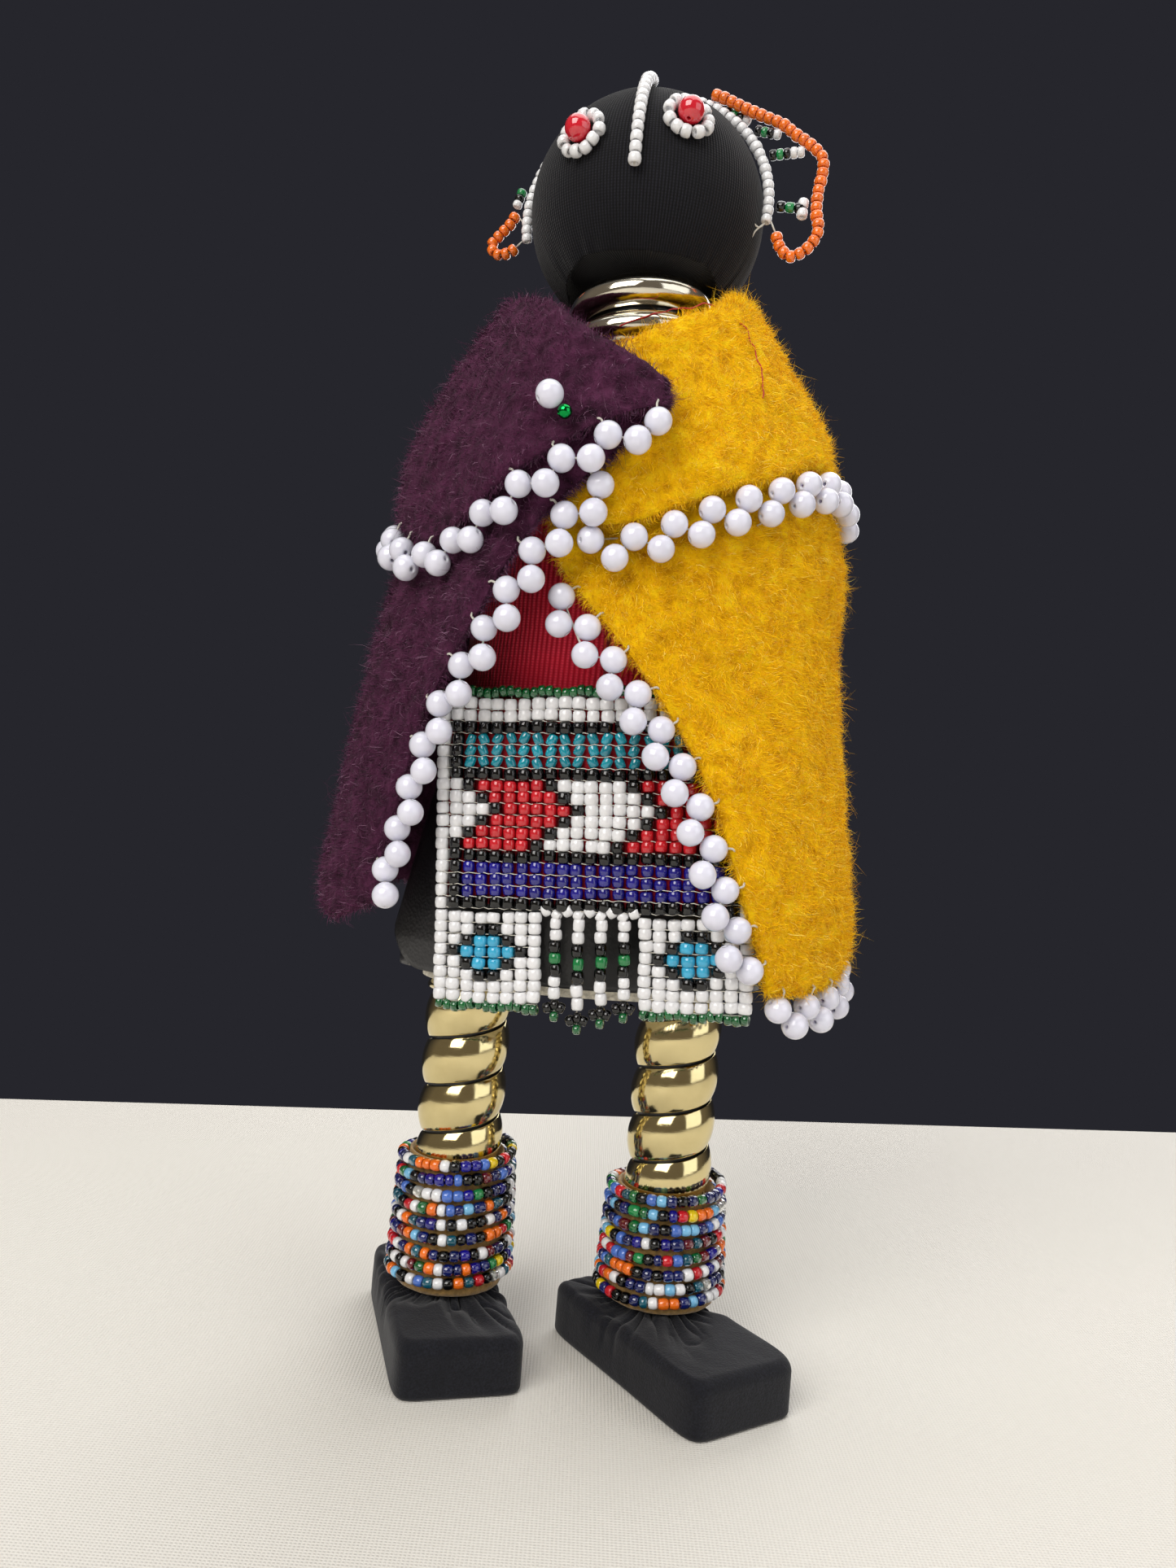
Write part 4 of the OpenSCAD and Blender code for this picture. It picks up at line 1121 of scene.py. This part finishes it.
def spoke_spots(spoke, looks, fork=False, forward=0.0):
    """Beads of one spoke from the band to the frill, which can end in a fork of two."""
    a1, r1, a2, r2 = spoke
    p, q = on_band(frill_points([(a1, r1), (a2, r2)]) + [0, 0, forward])
    step = (q - p) / len(looks)
    spots = [(p + step * (i + 0.5), q - p, 1.2, np.linalg.norm(step) * 0.96, look) for i, look in enumerate(looks)]
    if fork:
        side = unit(on_band(frill_points([(a2 + 90, 30)]))[0] - on_band([[0, 0, 0]])[0])
        spots += [(q + side * s - 0.3 * unit(q - p), side, 1.25, 2.0, WHITE) for s in (-1.2, 1.2)]
    return spots


def headdress():
    nose = arc(-4, 72, HEAD_R + SEED_R + 0.05) @ NOSE_TURN.T + HEAD_AT
    right, left = frill_points(RIGHT_FRILL), frill_points(LEFT_FRILL)
    white, orange, dark_slot = "white_seed_beads", "orange_seed_beads", "dark_seed_beads"
    strand("nose_seeds", nose, 2.35, 1.45, WHITE, "nose_beads", white, 31)
    strand("headband_seeds", on_band(arc(BAND_LOW, BAND_HIGH, BAND_R)), 2.05, 1.3, WHITE, "headband", white, 32)
    for name, points, pitch, seed in (("right", right, 2.1, 33), ("left", left, 2.0, 34)):
        strand(f"{name}_frill_seeds", on_band(catmull(points, 12)), pitch, 1.38, ORANGE,
               f"{name}_frill_strand", orange, seed)
    dark = [BLACK, MID_GREEN, BLACK]
    spots = spoke_spots(SPOKES[0], dark + [WHITE]) + spoke_spots(SPOKES[1], dark + [WHITE, WHITE])
    spots += spoke_spots(SPOKES[2], dark, fork=True)
    spots += spoke_spots(BEHIND_SPOKE, dark + [WHITE], forward=-2.3)
    beads("right_spoke_seeds", spots, SEED, "head", 0.04, 35, ["right_frill_spokes"], dark_slot)
    beads("left_spoke_seeds", spoke_spots(LEFT_SPOKE, [MID_GREEN, BLACK, WHITE]), SEED, "head", 0.04, 36,
          ["left_frill_spokes"], dark_slot)
    # Where the frills are tied to the band, and the loose ends at the band's right end
    lines = [
        on_band(frill_points(ends))
        for ends in (((-12, 32), (-7, 30.2)), ((177.5, 32), (181, 30.3)), ((193, 31.9), (191, 30.3)))
    ]
    lines += [on_band(arc(BAND_LOW, BAND_HIGH, BAND_R, 80)), nose[::4]]
    lines += [on_band(catmull(points, 5)) for points in (right, left)]
    knot = on_band(arc(BAND_LOW, BAND_LOW + 1, BAND_R - 0.2, 2))[0]
    side = head_turn(38, -22)
    for steps in (
        ([-1.5, -1.2, 0.2], [-4.2, 0.2, -0.6], [-6.5, 1.2, -1.1]),
        ([-2.0, -2.2, 0.3], [-2.6, -4.6, 0.2]),
    ):
        lines.append(catmull([knot] + [knot + side @ step for step in steps], 6))
    threads("headdress_thread", lines, 0.2, "head", white)


head()
eye("left", -25, 14, 51)
eye("right", 25, 22, 52)
headdress()


# ---------- Blanket ----------

# Height, left and right half-widths, left and right front depths, back depth
DRAPE = [
    [88, 65, 59, 32, 49, 35], [108, 62.8, 57.8, 33, 48, 35], [125, 60.3, 55.6, 34, 45, 33],
    [150, 56.3, 52.5, 35, 38, 32], [168, 52.8, 50.4, 35, 35, 31], [186, 48.6, 50.6, 34, 34, 30],
    [196, 47.5, 48.3, 33.5, 33.5, 29.5], [204, 46.3, 44.6, 32.5, 32.5, 29], [216, 41.2, 40.7, 30, 30, 27],
    [228, 35, 33, 27, 27, 25], [240, 27.8, 25, 24, 24, 23], [250, 21, 19, 21.5, 21.5, 21],
]
LEFT_WIDTH, RIGHT_WIDTH, LEFT, RIGHT, BACK = 1, 2, 3, 4, 5
FLEECE_T, LAYER = 2.8, 3.6
SEAM, SEAM_GAP = 110, 0.3
ANGLE_EASE, SHARE_EASE = 4, 0.025


def drape_point(a, z, out, front):
    """Point on the drape at an angle from the front, pushed out from its middle surface."""
    r = np.radians(a)
    width = np.where((a > 0) | (a < -180), table_value(DRAPE, RIGHT_WIDTH, z), table_value(DRAPE, LEFT_WIDTH, z))
    depth = np.where(np.cos(r) > 0, table_value(DRAPE, front, z), table_value(DRAPE, BACK, z))
    return np.stack([(width + out) * np.sin(r), -(depth + out) * np.cos(r), z + 0 * r], -1)


def lift(a):
    return 2 * LAYER * smooth((a + 52) / 34)


def eased(x, table, step):
    """Value from a table with its corners rounded off."""
    t = np.array(table, float)
    return sum(np.interp(x + k * step, t[:, 0], t[:, 1]) for k in (-2, -1, 0, 1, 2)) / 5


PURPLE_FOLD = [
    (-250, 242), (-90, 242), (-60, 239), (-32, 233.4), (-19, 228), (-13, 224.5), (-6, 221), (2, 217.4), (8, 213.8),
]
YELLOW_FOLD = [
    (-18, 219), (-5, 223), (1, 227), (12, 231.6), (24, 234.4), (34, 236.8), (61, 244.6), (84, 245), (110, 242.5),
]
# Share of the way up to the fold, and the angle of the front edge there
PURPLE_EDGE = [
    (0, -50), (0.054, -49.2), (0.142, -47), (0.252, -45), (0.332, -41.5), (0.41, -35.5), (0.473, -30),
    (0.545, -26.5), (0.625, -21.5), (0.703, -16), (0.753, -10.6), (0.82, -5), (0.935, 3), (1, 7),
]
YELLOW_EDGE = [
    (0, 39), (0.08, 34), (0.145, 30), (0.215, 27.2), (0.283, 23.7), (0.349, 18.6), (0.408, 12.9), (0.468, 7),
    (0.556, -2), (0.639, -11), (0.7, -18), (1, -18),
]
PURPLE_FLAP = [
    (-250, 192), (-100, 192), (-75, 188), (-58, 182.5), (-48, 181), (-40, 184), (-31, 190), (-22, 195),
    (-12, 201.5), (-4, 207.3), (8, 210),
]
YELLOW_FLAP = [
    (-18, 187), (-8, 184.5), (-3, 184.5), (4, 187), (12, 190.8), (21, 195.2), (32, 198.2), (44, 202.4),
    (63, 206.5), (85, 206.5), (110, 200),
]
BLANKETS = {
    "purple": dict(
        front=LEFT, seam=SEAM - 360 + SEAM_GAP, lift=lift, edge=PURPLE_EDGE, fold=PURPLE_FOLD, flap=PURPLE_FLAP,
        hem=lambda a: 104 - 6 * smooth(1 - np.abs(a + 66) / 24), cols=312, seed=71,
    ),
    "yellow": dict(
        front=RIGHT, seam=SEAM - SEAM_GAP, lift=lambda a: 0 * a, edge=YELLOW_EDGE, fold=YELLOW_FOLD, flap=YELLOW_FLAP,
        hem=lambda a: 92 + 7 * smooth((a - 50) / 50), cols=220, seed=72,
    ),
}
# Rows of cloth up the body, over the fold and down the flap
BODY_SHARE, FOLD_SHARE, FLAP_SHARE = 11, 4, 5
LAST_ROW = BODY_SHARE + FOLD_SHARE + FLAP_SHARE
# The under side shows up to one row, thinner from another, and the upper side shows from a third
UNDER_ENDS, UNDER_THINS, OVER_STARTS = 9.5, 7.6, 9.2
# One blade in so many is on a cut edge, and of the others so great a share is on the under side
RIM_PART, UNDER_SHARE = 8, 0.62


def cloth_way(row, low, fold, flap_low, face):
    """Height and push on the cloth's way up the body, over the fold and down the flap."""
    fold_r = LAYER / 2
    t = FLEECE_T / 2 * face
    up = row / BODY_SHARE
    over = np.radians(180 * np.clip((row - BODY_SHARE) / FOLD_SHARE, 0, 1))
    down = (row - BODY_SHARE - FOLD_SHARE) / FLAP_SHARE
    z = np.where(row <= BODY_SHARE, mix(low, fold - fold_r, up),
                 np.where(down <= 0, fold - fold_r + (fold_r + t) * np.sin(over), mix(fold - fold_r, flap_low, down)))
    push = np.where(row <= BODY_SHARE, -t, np.where(down <= 0, fold_r - (fold_r + t) * np.cos(over), LAYER + t))
    return z, push


def blanket_surface(key, row, u, face):
    b = BLANKETS[key]
    a = mix(eased(np.minimum(row / BODY_SHARE, 1), b["edge"], SHARE_EASE), b["seam"], u)
    fold, flap_low = eased(a, b["fold"], ANGLE_EASE), eased(a, b["flap"], ANGLE_EASE)
    height, push = cloth_way(row, b["hem"](a), fold, flap_low, face)
    return drape_point(a, height, push + b["lift"](a), b["front"])


def blanket(key, ground, fibre, slot, blades, long_blades):
    """Fleece with a clumped pile on the side that shows, which the fold at the neck turns over."""
    b = BLANKETS[key]
    fold, flap = BODY_SHARE, BODY_SHARE + FOLD_SHARE
    row = np.concatenate([
        np.linspace(0, fold, 92, endpoint=False), np.linspace(fold, flap, 18, endpoint=False),
        np.linspace(flap, LAST_ROW, 42),
    ])
    r, c = np.meshgrid(row, np.linspace(0, 1, b["cols"]) ** 1.1, indexing="ij")
    top, bottom = blanket_surface(key, r, c, 1), blanket_surface(key, r, c, -1)
    thick = unit(top - bottom)
    rim = smooth(np.minimum.reduce([c * 55, (1 - c) * 70, (LAST_ROW - r) * 2.6, r * 2.6 + 0.15]))
    over_shows = smooth((r - OVER_STARTS) / 1.2)
    under_shows = smooth((8.6 - r) / 1.4)

    def pile_height(points):
        flat_points = points.reshape(-1, 3)
        clumps = 0.5 * noise(flat_points, 3.2, b["seed"]) + 0.3 * noise(flat_points, 1.5, b["seed"] + 1)
        broad = 0.45 * np.minimum(noise(flat_points, 15, b["seed"] + 2), 0.5)
        return (clumps + broad).reshape(r.shape) * rim

    # The pile's two faces close in towards the cut edges
    pinch = (1 - rim) * 0.75
    top = top + thick * (pile_height(top) * over_shows * 1.2 - pinch)[..., None]
    bottom = bottom - thick * (pile_height(bottom) * under_shows * 1.2 - pinch)[..., None]
    co, quads = shell_between(top, bottom)
    volume = np.einsum("ij,ij->i", co[quads[:, 0]], np.cross(co[quads[:, 1]], co[quads[:, 2]])).sum()
    cover = piece(f"{key}_fleece_cloth", co, [quads if volume > 0 else quads[:, ::-1]], ground, "root",
                  [f"{key}_blanket"], slot)
    pile = [
        fibres(f"{key}_pile", top, bottom, row, blades, 2.1, 0.075, fibre, slot, b["seed"] + 10),
        fibres(f"{key}_stray_fibres", top, bottom, row, long_blades, 3.7, 0.04, fibre, slot, b["seed"] + 20),
    ]
    return np.where(r[..., None] < 9.6, bottom, top)


def patch_roots(rng, grid, out, share, count):
    """Random places spread evenly by area over the cells of a grid, and the way out at each."""
    cols = grid.shape[1]
    tall = np.linalg.norm(grid[1:, :-1] - grid[:-1, :-1], axis=-1)
    wide = np.linalg.norm(grid[:-1, 1:] - grid[:-1, :-1], axis=-1)
    weight = (tall * wide * share[:-1, None]).ravel()
    cell = rng.choice(len(weight), count, p=weight / weight.sum())
    r, c = cell // (cols - 1), cell % (cols - 1)
    u, v = rng.random(count)[:, None], rng.random(count)[:, None]
    low, high = mix(grid[r, c], grid[r, c + 1], u), mix(grid[r + 1, c], grid[r + 1, c + 1], u)
    return mix(low, high, v), out[r, c]


def rim_roots(rng, top, bottom, count):
    """Random places round the cut edges of the cloth, and the way out at each."""
    rows, cols = top.shape[:2]
    front_share, flap_share, inwards = 0.45, 0.35, 3
    n_front, n_flap = int(count * front_share), int(count * flap_share)
    n_hem = count - n_front - n_flap
    r = rng.integers(0, rows - 1, n_front)
    flap_c, hem_c = rng.integers(0, cols - 1, n_flap), rng.integers(0, cols - 1, n_hem)
    last = rows - 1
    inner = np.concatenate([top[r, inwards], top[last - inwards, flap_c], top[inwards, hem_c]])
    over, under = (np.concatenate([face[r, 0], face[last, flap_c], face[0, hem_c]]) for face in (top, bottom))
    after = np.concatenate([top[r + 1, 0], top[last, flap_c + 1], top[0, hem_c + 1]])
    slide = rng.random(count)[:, None]
    return mix(over, under, rng.random(count)[:, None]) + (after - over) * slide, unit(over - inner)


def fibres(name, top, bottom, row, count, length, breadth, material, slot, seed):
    """Brushed pile: thin bent blades that lean in clumps, on the side that shows and round the edges."""
    rng = np.random.default_rng(seed)
    thick = unit(top - bottom)
    on_rim = count // RIM_PART
    on_under = int((count - on_rim) * UNDER_SHARE)
    # Below the flap the cloth's under side shows; the pile behind the flap is never seen
    under = np.where(row > UNDER_ENDS, 0.0, np.where(row > UNDER_THINS, 0.1, 1.0))
    over = np.where(row > OVER_STARTS, 1.0, 0.0)
    sets = [
        patch_roots(rng, bottom, -thick, under, on_under),
        patch_roots(rng, top, thick, over, count - on_rim - on_under),
        rim_roots(rng, top, bottom, on_rim),
    ]
    root, out = (np.concatenate(part) for part in zip(*sets))
    lean = np.stack([noise(root, 4.2, seed + k) for k in (1, 2, 3)], 1) * 1.5
    lean += np.stack([noise(root, 1.6, seed + k) for k in (4, 5, 6)], 1) * 0.9
    lean += rng.normal(0, 0.45, (count, 3)) + [0, 0, -0.35]
    lean -= out * np.sum(lean * out, axis=1, keepdims=True)
    size = length * np.clip(rng.lognormal(-0.15, 0.35, count), 0.3, 1.9)[:, None]
    first = unit(out + 0.7 * lean)
    second = unit(0.25 * out + lean + 0.35 * rng.normal(0, 1, (count, 3)))
    middle = root + first * size * 0.45
    tip = middle + second * size * 0.55
    wide = unit(np.cross(first, rng.normal(0, 1, (count, 3)))) * breadth * rng.uniform(0.6, 1.1, count)[:, None]
    root = root - out * 0.5
    co = np.stack([root - wide, root + wide, middle + wide * 0.8, middle - wide * 0.8, tip], 1).reshape(-1, 3)
    k = 5 * np.arange(count)[:, None]
    return piece(name, co, [k + [0, 1, 2, 3], k + [3, 2, 4]], material, "root", slot=slot)


purple_outside = blanket("purple", PURPLE, PURPLE_FIBRE, "purple_fleece", 66000, 26000)
yellow_outside = blanket("yellow", YELLOW_FLEECE, YELLOW_FIBRE, "yellow_fleece", 62000, 13000)


# ---------- Pearls, pin and loose thread ----------


def pearls(node, start, cloth):
    """Zigzag of round beads on white thread, with a stitch from each inner bead into the fleece."""
    chain = in_order(islands(node), start)
    way = np.gradient(chain, axis=0)
    spots = [(p, w, PEARL_R, PEARL_R, PEARL_WHITE) for p, w in zip(chain, way)]
    beads(f"{node}_round", spots, PEARL, "root", 0.02, len(chain), [node], "pearl_beads")
    surface = cloth.reshape(-1, 3)
    paths = [chain]
    for k, p in enumerate(chain[::2]):
        near = surface[np.argmin(np.linalg.norm(surface - p, axis=1))]
        inward = unit(near - p)
        proud = unit(near * [1, 1.6, 0])
        slant = 0.5 * unit(way[min(2 * k, len(way) - 1)]) * (1 if k % 2 else -1)
        bend = near + 0.8 * inward + 0.4 * proud + slant
        end = near + 1.7 * inward - 1.1 * proud + slant
        paths.append(catmull([p, near + 0.5 * proud, bend, end], 6))
    threads(f"{node}_thread", paths, 0.24, "root", "pearl_beads")


for node, start, cloth in (
    ("purple_front_pearls", (-4, -42, 196), purple_outside),
    ("yellow_front_pearls", (-6, -36, 170), yellow_outside),
    ("purple_collar_pearls", (4, -42, 205), purple_outside),
    ("yellow_collar_pearls", (-2, -38, 180), yellow_outside),
    ("yellow_hem_pearls", (43, -36, 88), yellow_outside),
):
    pearls(node, start, cloth)


def pin():
    """Pearl head and green stop bead of the pin."""
    for node, radius, look, name, slot in (
        ("pin_pearl", PEARL_R, PEARL_WHITE, "pin_head", "pearl_beads"),
        ("pin_stop_bead", 1.5, GREEN_FOIL, "pin_green_bead", "green_bead"),
    ):
        centre = unplace(np.mean(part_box(node), axis=0))
        beads(name, [(centre, (1.0, 0.4, 0.6), radius, radius, look)], pearl_shape(0.16, 36, 24), "pin", 0.0, 3,
              [node], slot)


pin()

THREAD_R = 0.15
# Angle from the front and height: first on the neck coil, then over the yellow fold and down its flap
ON_COIL = [(-16, 232.6), (-8, 233.6), (3, 234.8), (15, 236.4)]
ON_FLAP = [
    (18, 235.6), (25, 237.2), (32, 238.2), (37.5, 236.6), (40.5, 233.6), (41.5, 230), (41.5, 227), (40.5, 224),
    (38.5, 220), (36.5, 217),
]


def loose_thread():
    """A length of red sewing thread left lying across the neck and the yellow collar."""
    a, z = np.array(ON_COIL, float).T
    points = list(on_circle(np.radians(a) - math.pi / 2, NECK_COIL_R + THREAD_R, z) + [0, NECK_Y, 0])
    for a, z in ON_FLAP:
        fold = float(eased(a, YELLOW_FOLD, ANGLE_EASE))
        push = LAYER + FLEECE_T / 2 if z < fold - 1.8 else LAYER * 0.6
        points.append(drape_point(np.float64(a), np.float64(z), push + 0.55, RIGHT))
    path = catmull(points, 8)
    wiggle = np.stack([noise(path, 2.2, seed) for seed in (91, 92, 93)], 1) * 0.35
    path = path + wiggle * smooth(np.linspace(0, 12, len(path)) - 2)[:, None]
    obj = piece("loose_red_thread", *tube(path, THREAD_R, 6), RED_THREAD, "root", slot="red_knit")


loose_thread()


# ---------- Stage, light and camera ----------


def pale_table():
    """Woven table top that ends in a straight edge behind the doll."""
    # The second colour is painted shade, mixed in by the weave that also makes the bump, strongest where the weave is
    # highest
    pale, painted_weave_shade = srgb(226, 222, 214), srgb(206, 201, 192)
    look = Look("pale_table_cloth", pale, 0.9)
    weft, warp = (
        look.wave(look.scaled(way), 420, 0.4, axis) for way, axis in (((1, 0, 0), "X"), ((0, 1, 0), "Y"))
    )
    weave = look.math("MULTIPLY", weft, warp)
    look.colour(look.blend(look.range(weave, 0, 0.35), pale, painted_weave_shade))
    look.bump(weave, 0.25, 0.6)
    mesh = bpy.data.meshes.new("pale_table")
    seen_left, seen_right = np.array([-210.0, 152, 0]), np.array([265.0, 236, 0])
    beyond = 900 * unit(seen_right - seen_left)
    left, right = seen_left - beyond, seen_right + beyond
    corners = place([left + [0, -1500, 0], right + [0, -1700, 0], right, left])
    mesh.from_pydata([tuple(p) for p in corners], [], [(0, 1, 2, 3)])
    mesh.materials.append(look.material)
    add("pale_table", mesh)


def lamp(name, at, target, size, power, colour):
    data = bpy.data.lights.new(name, "AREA")
    data.shape = "RECTANGLE"
    data.size = data.size_y = size
    data.energy = power
    data.color = colour
    obj = add(name, data)
    obj.location = at
    obj.rotation_euler = (Vector(target) - Vector(at)).to_track_quat("-Z", "Y").to_euler()


def surroundings():
    """Dark room: nearly black far away, grey-brown behind the camera and brighter overhead."""
    world = bpy.data.worlds.new("room")
    bpy.context.scene.world = world
    world.use_nodes = True
    nodes, links = world.node_tree.nodes, world.node_tree.links
    coords = nodes.new("ShaderNodeTexCoord")
    split = nodes.new("ShaderNodeSeparateXYZ")
    links.new(coords.outputs["Generated"], split.inputs[0])
    upward = nodes.new("ShaderNodeValToRGB")
    behind = nodes.new("ShaderNodeValToRGB")
    for ramp, source, stops in (
        (upward, "Z", ((0.62, srgb(38, 38, 44)), (0.95, srgb(150, 148, 144)))),
        (behind, "Y", ((0.0, srgb(112, 104, 95)), (0.7, srgb(38, 38, 44)))),
    ):
        links.new(split.outputs[source], ramp.inputs[0])
        for element, (at, colour) in zip(ramp.color_ramp.elements, stops):
            element.position = at
            element.color = (*colour, 1)
    lighter = nodes.new("ShaderNodeMix")
    lighter.data_type, lighter.blend_type = "RGBA", "LIGHTEN"
    fac, first, second, colour_out = 0, 6, 7, 2
    lighter.inputs[fac].default_value = 1.0
    links.new(upward.outputs[0], lighter.inputs[first])
    links.new(behind.outputs[0], lighter.inputs[second])
    links.new(lighter.outputs[colour_out], nodes["Background"].inputs["Color"])
    nodes["Background"].inputs["Strength"].default_value = 1.0


CAMERA_AT = (-3.5, -280.0, 132.0)
CAMERA_ROLL = 4.5
CAMERA_LENS, CAMERA_SENSOR = 27.05, 36


def camera():
    data = bpy.data.cameras.new("camera")
    data.lens = CAMERA_LENS
    data.sensor_width = CAMERA_SENSOR
    data.clip_start = 0.01
    obj = add("camera", data)
    roll = Matrix.Rotation(math.radians(90), 4, "X") @ Matrix.Rotation(math.radians(CAMERA_ROLL), 4, "Z")
    obj.matrix_world = Matrix.Translation(Vector(place(CAMERA_AT))) @ roll
    bpy.context.scene.camera = obj


pale_table()
surroundings()
# Name, place, height it points at, width, power and colour
for name, at, height, size, power, colour in (
    ("window", (-0.5, -0.85, 0.8), 0.15, 0.8, 11.5, (1.0, 0.98, 0.95)),
    ("fill", (0.9, -0.6, 0.5), 0.15, 0.9, 3.5, (0.95, 0.97, 1.0)),
    ("top", (0.1, 0.1, 1.1), 0.1, 1.1, 6.5, (1, 1, 1)),
    ("back", (0.35, 0.95, 0.65), 0.15, 0.9, 6.0, (0.98, 0.98, 1.0)),
):
    lamp(name, at, (0, 0, height), size, power, colour)
bpy.context.scene.view_settings.view_transform = "Standard"
camera()
